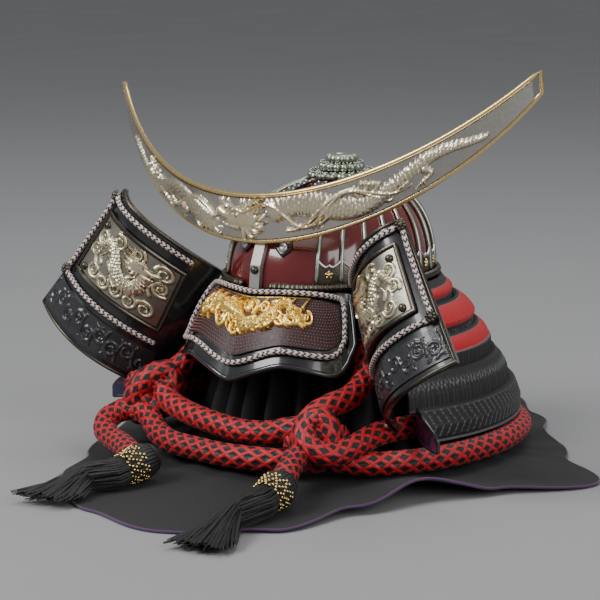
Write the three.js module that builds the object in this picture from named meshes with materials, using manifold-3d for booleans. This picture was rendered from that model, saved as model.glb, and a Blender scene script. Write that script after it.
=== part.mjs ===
// A half-size kabuto (samurai helmet) on its cloth-draped stand.
// Millimetres, +Z up. The helmet faces -Y, the wearer's left is +X, and the
// origin is under the middle of the stand's flat base.

import * as THREE from 'three';
import { mergeVertices } from 'three/addons/utils/BufferGeometryUtils.js';
import Module from 'manifold-3d';

const wasm = await Module();
wasm.setup();

// Driving dimensions

const clearance = 0.3;

// Bowl
const rimHeight = 101;
const bowlHalfWidth = 54;
const bowlHalfLength = 67;
const bowlHeight = 56;
const bowlWall = 2;
const bowlFullness = 2.4;
const crownSetBack = 9;

// Ribs and the pointed band at their feet
const ribFirstTurn = 36;
const ribGapsPerSide = 11;
const ribWidth = 2.2;
const ribHeight = 1.8;
const bandThickness = 1;
const bandPointHeight = 12;
const bandNotchHeight = 8;
const brimBeadDiameter = 4.4;
const brimBeadOpening = 20;

// Crown ornament
const crownPlateDiameter = 36;
const crownPlateHeight = 4;
const crownFlowerDiameter = 27;
const crownFlowerHeight = 4.5;
const crownRingDiameter = 19;
const crownRingHeight = 4;
const crownHoleDiameter = 8;

// Studded straps on the front of the bowl
const strapTurn = 15;
const strapWidth = 7;
const strapThickness = 1.2;
const strapFootHeight = 19;

// Visor
const visorThickness = 2.4;
const visorHalfWidth = 60;
const visorForward = 93;
const visorShoulder = 50;
const visorBeakDrop = 50;
const visorSpreadTurn = 84;
const visorRootTurn = 53;
const visorInlayThickness = 1;
const visorInlayHalfSpan = 0.88;
const pipingDiameter = 2.9;
const visorDragonThickness = 2;
const visorDragonBodyDiameter = 8;

// Crest holder
const holderWidth = 7;
const holderThickness = 3;
const holderTongueRise = 20;
const rivetDiameter = 4.6;
const rivetHeight = 1.8;

// Crescent crest
const crescentFootRise = 26;
const crescentFootHeight = rimHeight + crescentFootRise;
const crescentFootForward = 66;
const crescentOuterRadius = 187;
const crescentInnerRadius = 220;
const crescentWidth = 27;
const crescentTipHalfSpan = 153;
const crescentThickness = 3.4;
const crescentSweep = 0.003;
const crescentLean = -0.1;
const crescentRoll = 3.9;
const crescentRimDiameter = 2.4;
const crescentReliefThickness = 1.4;
const crescentDragonDiameter = 9;

// Neck guard
const lameWall = 2.2;
const neckDrop = 80;
const neckFlare = 47;

// Turned-back wings
const wingThickness = 2.4;
const wingTopSpan = 100;
const wingTopForward = 66;
const wingTopHeight = 149;
const wingBottomSpan = 151;
const wingBottomForward = 85;
const wingBottomHeight = 80;
const wingPanelThickness = 1.2;
const wingReliefDepth = 3;
const wingLeatherThickness = 1.6;
const rosetteDiameter = 6.5;
const rosetteHeight = 2.4;
const lowerTurnThickness = 2;
const lowerTurnSpan = 24;
const pegDiameter = 3.6;

// Stand and its cloth
const baseDiameter = 110;
const baseThickness = 8;
const postDiameter = 20;
const headDiameter = 62;
const headEdgeHeight = 12;
const clothThickness = 1.8;
const skirtReach = 205;

// Cords and tassels
const cordDiameter = 14;
const tasselHeadDiameter = 21;
const tasselLockDiameter = 7;

// Geometry helpers

const up = new THREE.Vector3(0, 0, 1);
const point = (x, y, z) => new THREE.Vector3(x, y, z);
const radians = THREE.MathUtils.degToRad;
const mix = THREE.MathUtils.lerp;

// Reads a table of {at, ...values} rows with straight lines between them.
function readTable(rows, at, column) {
  const last = rows.length - 1;
  if (at <= rows[0].at) return rows[0][column];
  if (at >= rows[last].at) return rows[last][column];
  const next = rows.findIndex((row) => row.at > at);
  const share = (at - rows[next - 1].at) / (rows[next].at - rows[next - 1].at);
  return mix(rows[next - 1][column], rows[next][column], share);
}

// The same with a smooth curve through the rows, for a table that goes once round.
function readRound(rows, turn, column) {
  const at = ((turn % 360) + 360) % 360;
  const count = rows.length;
  let next = rows.findIndex((row) => row.at > at);
  if (next < 0) next = count;
  const before = rows[next - 1];
  const after = rows[next % count];
  const span = (after.at - before.at + 360) % 360;
  const share = (at - before.at) / span;
  const smooth = share * share * (3 - 2 * share);
  return mix(before[column], after[column], smooth);
}

function cleanGeometry(geometry) {
  const bare = new THREE.BufferGeometry();
  bare.setAttribute('position', geometry.getAttribute('position').clone());
  if (geometry.index) bare.setIndex(geometry.index.clone());
  const merged = mergeVertices(bare, 1e-3);
  const place = merged.getAttribute('position');
  const old = merged.index.array;
  const kept = [];
  let volume = 0;
  const a = point(0, 0, 0);
  const b = point(0, 0, 0);
  const c = point(0, 0, 0);
  for (let i = 0; i < old.length; i += 3) {
    const [p, q, r] = [old[i], old[i + 1], old[i + 2]];
    if (p === q || q === r || r === p) continue;
    kept.push(p, q, r);
    a.fromBufferAttribute(place, p);
    b.fromBufferAttribute(place, q);
    c.fromBufferAttribute(place, r);
    volume += a.dot(b.cross(c));
  }
  if (volume < 0) {
    for (let i = 0; i < kept.length; i += 3) {
      [kept[i], kept[i + 1]] = [kept[i + 1], kept[i]];
    }
  }
  merged.setIndex(kept);
  return merged;
}

function geometryFrom(points, faces) {
  const geometry = new THREE.BufferGeometry();
  geometry.setFromPoints(points);
  geometry.setIndex(faces);
  return cleanGeometry(geometry);
}

// Triangles over an outline that runs down one side and back up the other.
function stripCap(count) {
  const faces = [];
  for (let i = 0; i < count / 2 - 1; i += 1) {
    faces.push([i, i + 1, count - 2 - i], [i, count - 2 - i, count - 1 - i]);
  }
  return faces;
}

// Joins rings of equal count into one closed body, capped or running round.
function loft(rings, { closed = false, twoSided = false } = {}) {
  const count = rings[0].length;
  const points = rings.flat();
  const faces = [];
  const spans = closed ? rings.length : rings.length - 1;
  for (let i = 0; i < spans; i += 1) {
    const here = i * count;
    const there = ((i + 1) % rings.length) * count;
    for (let j = 0; j < count; j += 1) {
      const k = (j + 1) % count;
      faces.push(here + j, here + k, there + k);
      faces.push(here + j, there + k, there + j);
    }
  }
  if (!closed) {
    const cap = twoSided
      ? stripCap(count)
      : Array.from({ length: count - 2 }, (_, j) => [0, j + 1, j + 2]);
    const far = (rings.length - 1) * count;
    for (const [p, q, r] of cap) {
      faces.push(r, q, p);
      faces.push(far + p, far + q, far + r);
    }
  }
  return geometryFrom(points, faces);
}

// A closed slab between two surfaces given over u and v from 0 to 1.
function shellBetween(outer, inner, across, down, aroundU = false) {
  const columns = aroundU ? across : across + 1;
  const points = [];
  for (const surface of [outer, inner]) {
    for (let i = 0; i < columns; i += 1) {
      for (let j = 0; j <= down; j += 1) points.push(surface(i / across, j / down));
    }
  }
  const half = columns * (down + 1);
  const at = (i, j) => (i % columns) * (down + 1) + j;
  const faces = [];
  const quad = (p, q, r, s) => faces.push(p, q, r, p, r, s);
  for (let i = 0; i < across; i += 1) {
    for (let j = 0; j < down; j += 1) {
      quad(at(i, j), at(i + 1, j), at(i + 1, j + 1), at(i, j + 1));
      quad(half + at(i, j + 1), half + at(i + 1, j + 1), half + at(i + 1, j), half + at(i, j));
    }
    quad(at(i + 1, 0), at(i, 0), half + at(i, 0), half + at(i + 1, 0));
    quad(at(i, down), at(i + 1, down), half + at(i + 1, down), half + at(i, down));
  }
  if (!aroundU) {
    for (let j = 0; j < down; j += 1) {
      quad(at(0, j), at(0, j + 1), half + at(0, j + 1), half + at(0, j));
      quad(at(across, j + 1), at(across, j), half + at(across, j), half + at(across, j + 1));
    }
  }
  return geometryFrom(points, faces);
}

// A point off a surface by a height along its normal; u and v are kept in range.
function raised(surface, u, v, height) {
  const step = 0.01;
  const alongU = surface(Math.min(u + step, 1), v).sub(surface(Math.max(u - step, 0), v));
  const alongV = surface(u, Math.min(v + step, 1)).sub(surface(u, Math.max(v - step, 0)));
  const normal = alongU.cross(alongV).normalize();
  return surface(u, v).addScaledVector(normal, height);
}

function sheetOn(surface, patch, low, high, across, down) {
  const at = (height) => (s, t) => {
    const [u, v] = patch(s, t);
    return raised(surface, u, v, height);
  };
  return shellBetween(at(high), at(low), across, down);
}

function circleShape(diameter, sides) {
  const shape = new THREE.Shape();
  for (let i = 0; i < sides; i += 1) {
    const angle = (i / sides) * Math.PI * 2;
    shape[i ? 'lineTo' : 'moveTo']((Math.cos(angle) * diameter) / 2, (Math.sin(angle) * diameter) / 2);
  }
  return shape;
}

// A tube along points that ends in flat caps.
function openTube(points, diameter, sides, steps) {
  const path = new THREE.CatmullRomCurve3(points, false, 'centripetal');
  const tube = new THREE.ExtrudeGeometry(circleShape(diameter, sides), {
    extrudePath: path,
    steps,
    curveSegments: 1,
    bevelEnabled: false,
  });
  return cleanGeometry(tube);
}

// A tube that runs round a closed curve.
function loopTube(points, diameter, sides, steps) {
  const path = new THREE.CatmullRomCurve3(points, true, 'centripetal');
  const frames = path.computeFrenetFrames(steps, true);
  const rings = [];
  for (let i = 0; i < steps; i += 1) {
    const centre = path.getPointAt(i / steps);
    rings.push(Array.from({ length: sides }, (_, j) => {
      const angle = (j / sides) * Math.PI * 2;
      return centre.clone()
        .addScaledVector(frames.normals[i], (Math.cos(angle) * diameter) / 2)
        .addScaledVector(frames.binormals[i], (Math.sin(angle) * diameter) / 2);
    }));
  }
  return loft(rings, { closed: true });
}

// A tube whose diameter follows a list, for tapering bodies and locks.
function taperTube(points, diameters, sides, steps, flatness = 1) {
  const path = new THREE.CatmullRomCurve3(points, false, 'centripetal');
  const frames = path.computeFrenetFrames(steps, false);
  const rings = [];
  for (let i = 0; i <= steps; i += 1) {
    const centre = path.getPointAt(i / steps);
    const along = (i / steps) * (diameters.length - 1);
    const low = Math.min(Math.floor(along), diameters.length - 2);
    const radius = mix(diameters[low], diameters[low + 1], along - low) / 2;
    rings.push(Array.from({ length: sides }, (_, j) => {
      const angle = ((j + 0.5) / sides) * Math.PI * 2;
      return centre.clone()
        .addScaledVector(frames.normals[i], Math.cos(angle) * radius)
        .addScaledVector(frames.binormals[i], Math.sin(angle) * radius * flatness);
    }));
  }
  return loft(rings);
}

// A rounded ridge that follows a route of [u, v] places over a surface.
function ridgeOn(surface, route, widths, low, height) {
  const places = route.map(([u, v]) => raised(surface, u, v, low));
  const rings = route.map(([u, v], i) => {
    const normal = raised(surface, u, v, low + 1).sub(places[i]);
    const ahead = places[Math.min(i + 1, places.length - 1)].clone();
    const along = ahead.sub(places[Math.max(i - 1, 0)]).normalize();
    const sideways = normal.clone().cross(along).normalize();
    const share = (i / (route.length - 1)) * (widths.length - 1);
    const before = Math.min(Math.floor(share), widths.length - 2);
    const half = mix(widths[before], widths[before + 1], share - before) / 2;
    const section = [[-1, 0], [-0.75, 0.7], [0, 1], [0.75, 0.7], [1, 0]];
    return section.map(([across, lift]) => places[i].clone()
      .addScaledVector(sideways, across * half)
      .addScaledVector(normal, lift * Math.min(height, half * 1.2)));
  });
  return loft(rings);
}

// A dome whose flat foot lies on a place, looking along a direction.
function dome(place, direction, diameter, height) {
  const profile = [
    new THREE.Vector2(0, 0),
    new THREE.Vector2(diameter / 2, 0),
    new THREE.Vector2(diameter * 0.38, height * 0.7),
    new THREE.Vector2(0, height),
  ];
  const cap = new THREE.LatheGeometry(profile, 7);
  cap.rotateX(Math.PI / 2);
  cap.applyQuaternion(new THREE.Quaternion().setFromUnitVectors(up, direction.clone().normalize()));
  cap.translate(place.x, place.y, place.z);
  return cleanGeometry(cap);
}

function bossOn(surface, u, v, low, diameter, height) {
  const foot = raised(surface, u, v, low);
  return dome(foot, raised(surface, u, v, low + 1).sub(foot), diameter, height);
}

function toManifold(geometry) {
  return new wasm.Manifold(new wasm.Mesh({
    numProp: 3,
    vertProperties: new Float32Array(geometry.getAttribute('position').array),
    triVerts: new Uint32Array(geometry.index.array),
  }));
}

function fromManifold(solid) {
  const mesh = solid.getMesh();
  const geometry = new THREE.BufferGeometry();
  geometry.setAttribute('position', new THREE.BufferAttribute(new Float32Array(mesh.vertProperties), 3));
  geometry.setIndex(new THREE.BufferAttribute(new Uint32Array(mesh.triVerts), 1));
  return geometry;
}

function fuse(geometries) {
  let solid = toManifold(geometries[0]);
  for (const next of geometries.slice(1)) solid = solid.add(toManifold(next));
  return fromManifold(solid);
}

function mirrored(geometry) {
  const copy = geometry.clone();
  copy.scale(-1, 1, 1);
  return cleanGeometry(copy);
}

// Named pieces and their finishes

const helmet = new THREE.Group();

const finishes = {
  redLacquer: { color: '#5a1216', roughness: 0.22, metalness: 0 },
  blackLacquer: { color: '#141414', roughness: 0.25, metalness: 0 },
  pewter: { color: '#6f7468', roughness: 0.35, metalness: 1 },
  bronze: { color: '#3a2f26', roughness: 0.35, metalness: 1 },
  silver: { color: '#9b9a96', roughness: 0.4, metalness: 1 },
  gold: { color: '#d9a93b', roughness: 0.25, metalness: 1 },
  paleGold: { color: '#cdbb8c', roughness: 0.35, metalness: 1 },
  leather: { color: '#1b1a1c', roughness: 0.5, metalness: 0 },
  shagreen: { color: '#3a1418', roughness: 0.5, metalness: 0 },
  piping: { color: '#d8c9c4', roughness: 0.7, metalness: 0 },
  lacing: { color: '#7c1416', roughness: 0.8, metalness: 0 },
  darkLacing: { color: '#2a2a2c', roughness: 0.8, metalness: 0 },
  wood: { color: '#7a5b3a', roughness: 0.6, metalness: 0 },
  cloth: { color: '#18181a', roughness: 0.95, metalness: 0 },
  cord: { color: '#b3141f', roughness: 0.75, metalness: 0 },
  tassel: { color: '#121212', roughness: 0.9, metalness: 0 },
};

function addPiece(name, geometry, finish) {
  const shaded = geometry.clone();
  shaded.computeVertexNormals();
  const mesh = new THREE.Mesh(shaded, new THREE.MeshStandardMaterial(finishes[finish]));
  mesh.name = name;
  helmet.add(mesh);
}

// Bowl

const bowlAround = 32;
const bowlRows = 7;
const bowlPower = 2 / bowlFullness;

// Turn goes from the front towards the wearer's left, rise from rim to crown.
function bowlPoint(turn, rise, out) {
  const lift = Math.sin((rise * Math.PI) / 2) ** bowlPower;
  const reach = Math.cos((rise * Math.PI) / 2) ** bowlPower;
  return point(
    (bowlHalfWidth + out) * reach * Math.sin(radians(turn)),
    -(bowlHalfLength + out) * reach * Math.cos(radians(turn)) + crownSetBack * lift * lift,
    rimHeight + (bowlHeight + out) * lift,
  );
}

// The rise at which the bowl stands a height above its rim.
function riseAtHeight(height) {
  return (Math.asin(Math.min(1, height / bowlHeight) ** (1 / bowlPower)) * 2) / Math.PI;
}

// Ribs and straps end where the crown plate's edge begins.
const crownSeatReach = (crownPlateDiameter / 2 + 2 * clearance) / bowlHalfWidth;
const crownSeatRise = (Math.acos(crownSeatReach ** (1 / bowlPower)) * 2) / Math.PI;

const bowl = shellBetween(
  (u, v) => bowlPoint(360 * u, v, 0),
  (u, v) => bowlPoint(360 * u, v, -bowlWall),
  bowlAround,
  bowlRows,
  true,
);
addPiece('bowl', bowl, 'redLacquer');

// Rib cage: raised ribs fused to the pointed band at their feet

const beadTop = brimBeadDiameter + clearance;
const cageFootRise = riseAtHeight(beadTop);
const ribSpacing = (180 - ribFirstTurn) / ribGapsPerSide;

// The same rows as the bowl's, so that the ribs follow its facets.
const ribRises = [cageFootRise];
for (let row = 1; row < bowlRows; row += 1) {
  const rise = row / bowlRows;
  if (rise > cageFootRise + 0.02 && rise < crownSeatRise) ribRises.push(rise);
}
ribRises.push(crownSeatRise);

// The ribs' feet lie within the band's thickness.
const ribFootOut = clearance + bandThickness / 3;

function ribAt(turn) {
  const rings = ribRises.map((rise) => {
    const across = bowlPoint(turn + 0.5, rise, 0).distanceTo(bowlPoint(turn - 0.5, rise, 0));
    const half = ribWidth / 2 / across;
    return [
      bowlPoint(turn - half, rise, ribFootOut),
      bowlPoint(turn + half, rise, ribFootOut),
      bowlPoint(turn, rise, ribFootOut + ribHeight),
    ];
  });
  return loft(rings);
}

const bandColumns = 4 * ribGapsPerSide;
const pointedBand = (out) => (u, v) => {
  const turn = mix(ribFirstTurn, 360 - ribFirstTurn, u);
  const atRib = Math.round(u * bandColumns) % 2 === 0;
  const top = beadTop + (atRib ? bandPointHeight : bandNotchHeight);
  return bowlPoint(turn, mix(cageFootRise, riseAtHeight(top), v), out);
};

const ribs = [shellBetween(
  pointedBand(clearance + bandThickness),
  pointedBand(clearance),
  bandColumns,
  1,
)];
for (let i = 0; i <= 2 * ribGapsPerSide; i += 1) ribs.push(ribAt(ribFirstTurn + ribSpacing * i));
addPiece('bowl_ribs', fuse(ribs), 'pewter');

// Brim bead round the bowl's lower edge, open at the crest holder

function sweepBand(profile, from, to, steps) {
  const rings = [];
  for (let i = 0; i <= steps; i += 1) {
    const turn = radians(mix(from, to, i / steps));
    rings.push(profile.map(([out, z]) => point(
      (bowlHalfWidth + out) * Math.sin(turn),
      -(bowlHalfLength + out) * Math.cos(turn),
      z,
    )));
  }
  return loft(rings, { twoSided: true });
}

const beadProfile = [];
for (let i = 0; i < 6; i += 1) {
  const angle = ((i + 0.5) / 6) * Math.PI * 2;
  beadProfile.push([
    clearance + brimBeadDiameter / 2 + (Math.cos(angle) * brimBeadDiameter) / 2,
    rimHeight + brimBeadDiameter / 2 + (Math.sin(angle) * brimBeadDiameter) / 2,
  ]);
}
const beadHalfGap = brimBeadOpening / 2;
addPiece('brim_bead', sweepBand(beadProfile, beadHalfGap, 360 - beadHalfGap, 32), 'bronze');

// Crown ornament, three tiers on the bowl's top

function tier(diameter, height, base, innerDiameter, petals, stretch = 1) {
  const sides = 16;
  const place = (radius, z) => (u) => {
    const angle = u * Math.PI * 2;
    const scallop = petals ? 1 - 0.07 * (Math.round(u * sides) % 2) : 1;
    const reach = radius * scallop;
    return point(Math.sin(angle) * reach, crownSetBack - Math.cos(angle) * reach * stretch, base + z);
  };
  const outer = diameter / 2;
  const inner = innerDiameter / 2;
  const profile = [
    place(outer, 0), place(outer, height * 0.55), place(outer - height * 0.35, height),
    place(inner, height), place(inner, 0),
  ];
  const rings = Array.from({ length: sides }, (_, i) => profile.map((at) => at(i / sides)));
  return loft(rings, { closed: true });
}

const crownTop = rimHeight + bowlHeight;
const crownPlateBase = crownTop + clearance;
const crownFlowerBase = crownPlateBase + crownPlateHeight + clearance;
const crownRingBase = crownFlowerBase + crownFlowerHeight + clearance;
addPiece(
  'crown_plate',
  tier(
    crownPlateDiameter,
    crownPlateHeight,
    crownPlateBase,
    crownHoleDiameter,
    true,
    bowlHalfLength / bowlHalfWidth,
  ),
  'pewter',
);
addPiece(
  'crown_flower',
  tier(crownFlowerDiameter, crownFlowerHeight, crownFlowerBase, crownHoleDiameter, true),
  'pewter',
);
addPiece(
  'crown_ring',
  tier(crownRingDiameter, crownRingHeight, crownRingBase, crownHoleDiameter, false),
  'pewter',
);

// Studded straps that end in a leaf

function strap(side) {
  const footRise = riseAtHeight(strapFootHeight);
  const rows = [{ rise: footRise, width: 0.15 }, { rise: footRise + 0.05, width: 1.5 }];
  for (let row = 1; row < bowlRows; row += 1) {
    const rise = row / bowlRows;
    if (rise > footRise + 0.1 && rise < crownSeatRise) rows.push({ rise, width: 1 });
  }
  rows.push({ rise: crownSeatRise, width: 0.8 });
  const rings = rows.map(({ rise, width }) => {
    const turn = side * strapTurn;
    const across = bowlPoint(turn + 0.5, rise, 0).distanceTo(bowlPoint(turn - 0.5, rise, 0));
    const half = (strapWidth * width) / 2 / across;
    return [
      bowlPoint(turn - half, rise, clearance * 1.5),
      bowlPoint(turn + half, rise, clearance * 1.5),
      bowlPoint(turn + half * 0.8, rise, clearance * 1.5 + strapThickness),
      bowlPoint(turn - half * 0.8, rise, clearance * 1.5 + strapThickness),
    ];
  });
  return loft(rings);
}
addPiece('strap_left', strap(1), 'blackLacquer');
addPiece('strap_right', strap(-1), 'blackLacquer');

// Visor: from under the bowl's rim out to a beaked, two-lobed edge.
// Drop is a share of visorBeakDrop, given over the turn from the beak.

const visorEdge = [
  { at: 0, drop: 1 },
  { at: 14, drop: 0.88 },
  { at: 32, drop: 0.76 },
  { at: 48, drop: 0.82 },
  { at: 66, drop: 0.9 },
  { at: 77, drop: 0.8 },
  { at: 84, drop: 0.5 },
];
const visorRootOut = 2;
const visorRootHeight = rimHeight - clearance / 2 - visorThickness / 2;

// u runs from the wearer's left to the right, which turns the surface's normal outwards.
function visorPoint(u, v) {
  const side = 1 - 2 * u;
  const turn = radians(side * visorSpreadTurn);
  const rootTurn = radians(side * visorRootTurn);
  const root = point(
    (bowlHalfWidth + visorRootOut) * Math.sin(rootTurn),
    -(bowlHalfLength + visorRootOut) * Math.cos(rootTurn),
    visorRootHeight,
  );
  const drop = readTable(visorEdge, Math.abs(side) * visorSpreadTurn, 'drop');
  const edge = point(
    visorHalfWidth * Math.sin(turn),
    -visorShoulder - (visorForward - visorShoulder) * Math.cos(turn),
    rimHeight - drop * visorBeakDrop * 0.99,
  );
  const place = root.lerp(edge, v);
  place.z += 3 * Math.sin(v * Math.PI);
  return place;
}

const visorLift = visorThickness / 2;
const wholePatch = (s, t) => [s, t];
addPiece('visor', sheetOn(visorPoint, wholePatch, -visorLift, visorLift, 24, 4), 'blackLacquer');

// The inlay and its piping share one rounded outline on the visor.
const inlayMiddle = 0.44;
const inlayHalfDrop = 0.33;
const outlinePower = 5;

function inlayPatch(s, t) {
  const side = 2 * s - 1;
  const fullness = (1 - Math.abs(side) ** outlinePower) ** (1 / outlinePower);
  return [
    0.5 + (side * visorInlayHalfSpan) / 2,
    inlayMiddle + inlayHalfDrop * fullness * (2 * t - 1),
  ];
}
const inlayLow = visorLift + 2 * clearance;
const inlayHigh = inlayLow + visorInlayThickness;
addPiece('visor_inlay', sheetOn(visorPoint, inlayPatch, inlayLow, inlayHigh, 18, 2), 'shagreen');

function visorPipingLoop() {
  const points = [];
  const count = 48;
  const growU = 0.028;
  const growV = 0.075;
  for (let i = 0; i < count; i += 1) {
    const angle = (i / count) * Math.PI * 2;
    const round = (value) => Math.sign(value) * Math.abs(value) ** (2 / outlinePower);
    const u = 0.5 + (visorInlayHalfSpan / 2 + growU) * round(Math.cos(angle));
    const v = inlayMiddle + (inlayHalfDrop + growV) * round(Math.sin(angle));
    points.push(raised(visorPoint, u, v, inlayLow + pipingDiameter / 2 + 2 * clearance));
  }
  return loopTube(points, pipingDiameter, 4, 44);
}
addPiece('visor_piping', visorPipingLoop(), 'piping');

// Gilt dragon cast in one piece: a scalloped ground, a coiling body, head and claws
const visorDragonHalfSpan = 0.25;
const visorDragonMiddle = 0.4;

function visorDragon() {
  const base = inlayHigh + 2 * clearance;
  const ground = sheetOn(visorPoint, (s, t) => [
    0.5 + visorDragonHalfSpan * (2 * s - 1),
    visorDragonMiddle + (0.17 + 0.03 * (Math.round(s * 10) % 2)) * (2 * t - 1),
  ], base, base + visorDragonThickness, 10, 1);
  const low = base + visorDragonThickness / 2;
  const thick = visorDragonBodyDiameter;
  const coils = [];
  for (let i = 0; i <= 14; i += 1) {
    const along = 0.86 - 0.123 * i;
    coils.push([
      0.5 - visorDragonHalfSpan * along,
      visorDragonMiddle + 0.12 * Math.sin(i * 0.9),
    ]);
  }
  const widths = [thick * 0.4, thick * 0.7, thick, thick, thick * 0.7];
  const body = ridgeOn(visorPoint, coils, widths, low, thick * 0.55);
  const bosses = [[0.04, 0, 1.5], [-0.7, 1, 1], [-0.4, -1, 1], [0.4, 1, 1], [0.75, -1, 1]].map(
    ([along, across, grow]) => bossOn(
      visorPoint,
      0.5 - visorDragonHalfSpan * along,
      visorDragonMiddle + 0.12 * across,
      low,
      thick * 0.9 * grow,
      thick * 0.5 * grow,
    ),
  );
  return fuse([ground, body, ...bosses]);
}
addPiece('visor_dragon', visorDragon(), 'gold');

// Crescent crest: a plate between two arcs, swept back towards its tips

const crescentPlace = new THREE.Matrix4()
  .makeTranslation(0, -crescentFootForward, crescentFootHeight)
  .multiply(new THREE.Matrix4().makeRotationY(radians(-crescentRoll)));

const outerCentre = crescentOuterRadius;
const innerCentre = crescentWidth + crescentInnerRadius;

// Share goes from the wearer's right tip to the left one, across from outer to inner arc.
function crescentPoint(share, across) {
  const x = crescentTipHalfSpan * (2 * share - 1);
  const outer = outerCentre - Math.sqrt(crescentOuterRadius ** 2 - x * x);
  const inner = innerCentre - Math.sqrt(crescentInnerRadius ** 2 - x * x);
  const z = mix(outer, inner, across);
  return point(x, crescentSweep * x * x + crescentLean * z, z);
}

const onCrescent = (geometry) => cleanGeometry(geometry.applyMatrix4(crescentPlace));
const crescentLift = crescentThickness / 2;
const crescentInset = 0.016;
const crescentRimInset = 0.004;
const crescentPatch = (s, t) => [mix(crescentInset, 1 - crescentInset, s), mix(0.08, 0.92, t)];
addPiece(
  'crescent_plate',
  onCrescent(sheetOn(crescentPoint, crescentPatch, -crescentLift, crescentLift, 28, 1)),
  'silver',
);

function crescentRim() {
  const out = crescentRimDiameter / 2 + clearance;
  const steps = 24;
  const outerArc = [];
  const innerArc = [];
  for (let i = 0; i <= steps; i += 1) {
    const share = mix(crescentRimInset, 1 - crescentRimInset, i / steps);
    const low = crescentPoint(share, 0.08);
    const high = crescentPoint(share, 0.92);
    const away = high.clone().sub(low).normalize();
    outerArc.push(low.addScaledVector(away, -out));
    innerArc.push(high.addScaledVector(away, out));
  }
  return loopTube([...outerArc, ...innerArc.reverse()], crescentRimDiameter, 4, 54);
}
addPiece('crescent_rim', onCrescent(crescentRim()), 'gold');

// Cast dragon relief along the crescent, fused to a thin scalloped backing
function crescentRelief() {
  const base = crescentLift + clearance;
  const backing = sheetOn(crescentPoint, (s, t) => [
    mix(0.14, 0.88, s),
    mix(0.5, t < 0.5 ? 0.24 : 0.76, Math.abs(2 * t - 1) * (0.8 + 0.2 * (Math.round(s * 14) % 2))),
  ], base, base + crescentReliefThickness, 14, 2);
  const low = base + crescentReliefThickness * 0.6;
  const thick = crescentDragonDiameter;
  const route = (from, to, count, shift) => Array.from({ length: count + 1 }, (_, i) => {
    const share = mix(from, to, i / count);
    return [share, 0.5 + 0.2 * Math.sin(share * 34 + shift)];
  });
  const tailWidths = [thick, thick * 0.9, thick * 0.6, thick * 0.25];
  return fuse([
    backing,
    ridgeOn(crescentPoint, route(0.56, 0.86, 12, 0.6), tailWidths, low, thick * 0.3),
    ridgeOn(crescentPoint, route(0.16, 0.44, 9, 2), [thick * 0.4, thick * 0.8, thick], low, thick * 0.3),
    bossOn(crescentPoint, 0.47, 0.5, low, thick * 1.6, thick * 0.4),
    bossOn(crescentPoint, 0.31, 0.7, low, thick * 0.6, thick * 0.25),
  ]);
}
addPiece('crescent_relief', onCrescent(crescentRelief()), 'paleGold');

// Crest holder: a strip up the bowl's front that goes on as a tongue behind the crest

const holderFoot = rimHeight + clearance * 2;
const holderTop = crescentFootHeight + holderTongueRise;

function bowlFrontAt(z) {
  return bowlPoint(0, riseAtHeight(z - rimHeight), clearance * 2).y;
}
function crestBackAt(z) {
  const rise = z - crescentFootHeight;
  return -crescentFootForward + crescentLean * rise + crescentLift + clearance * 2;
}

function crestHolder() {
  const back = [];
  const front = [];
  for (const z of [holderFoot, mix(holderFoot, crescentFootHeight, 0.5), crescentFootHeight - 2]) {
    back.push([bowlFrontAt(z), z]);
    front.push([bowlFrontAt(z) - holderThickness, z]);
  }
  for (const z of [crescentFootHeight + 2, holderTop]) {
    front.push([crestBackAt(z), z]);
    back.push([crestBackAt(z) + holderThickness, z]);
  }
  const outline = [...back, ...front.reverse()];
  const rings = [-1, 1].map((side) => outline.map(([y, z]) => point((side * holderWidth) / 2, y, z)));
  return loft(rings, { twoSided: true });
}
addPiece('crest_holder', crestHolder(), 'silver');

const crestRivetHeight = mix(holderFoot, crescentFootHeight, 0.4);
addPiece(
  'crest_rivet',
  dome(
    point(0, bowlFrontAt(crestRivetHeight) - holderThickness - clearance * 2, crestRivetHeight),
    point(0, -1, 0.12),
    rivetDiameter,
    rivetHeight,
  ),
  'bronze',
);

// Neck guard: five laced lames, each one outside the one above.
// Drops and flares are shares of neckDrop and neckFlare; front is the turn where a lame begins.

const lames = [
  { top: 0.01, bottom: 0.17, tucked: 0.03, swell: 0.14, spread: 0.17, front: 54 },
  { top: 0.15, bottom: 0.38, tucked: 0.225, swell: 0.42, spread: 0.42, front: 65 },
  { top: 0.34, bottom: 0.58, tucked: 0.477, swell: 0.65, spread: 0.66, front: 66 },
  { top: 0.55, bottom: 0.79, tucked: 0.715, swell: 0.86, spread: 0.88, front: 66 },
  { top: 0.76, bottom: 0.99, tucked: 0.937, swell: 1.02, spread: 1.02, front: 68 },
];

function lameProfile({ top, bottom, tucked, swell, spread }) {
  const z = (share) => rimHeight - share * neckDrop;
  const out = (share) => 1 + share * neckFlare;
  const middle = mix(top, bottom, 0.55);
  return [
    [out(tucked), z(top)],
    [out(swell), z(middle)],
    [out(spread), z(bottom)],
    [out(spread) + lameWall, z(bottom)],
    [out(swell) + lameWall, z(middle)],
    [out(tucked) + lameWall, z(top)],
  ];
}

lames.forEach((lame, index) => {
  const band = sweepBand(lameProfile(lame), lame.front, 360 - lame.front, 18);
  addPiece(`neck_lame_${index + 1}`, band, index < 2 ? 'lacing' : 'darkLacing');
});

// Wings: each turns out and back from the front ends of the lames.
// Three lines, from the free edge to the root, carry the top and the bottom edge.

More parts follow.
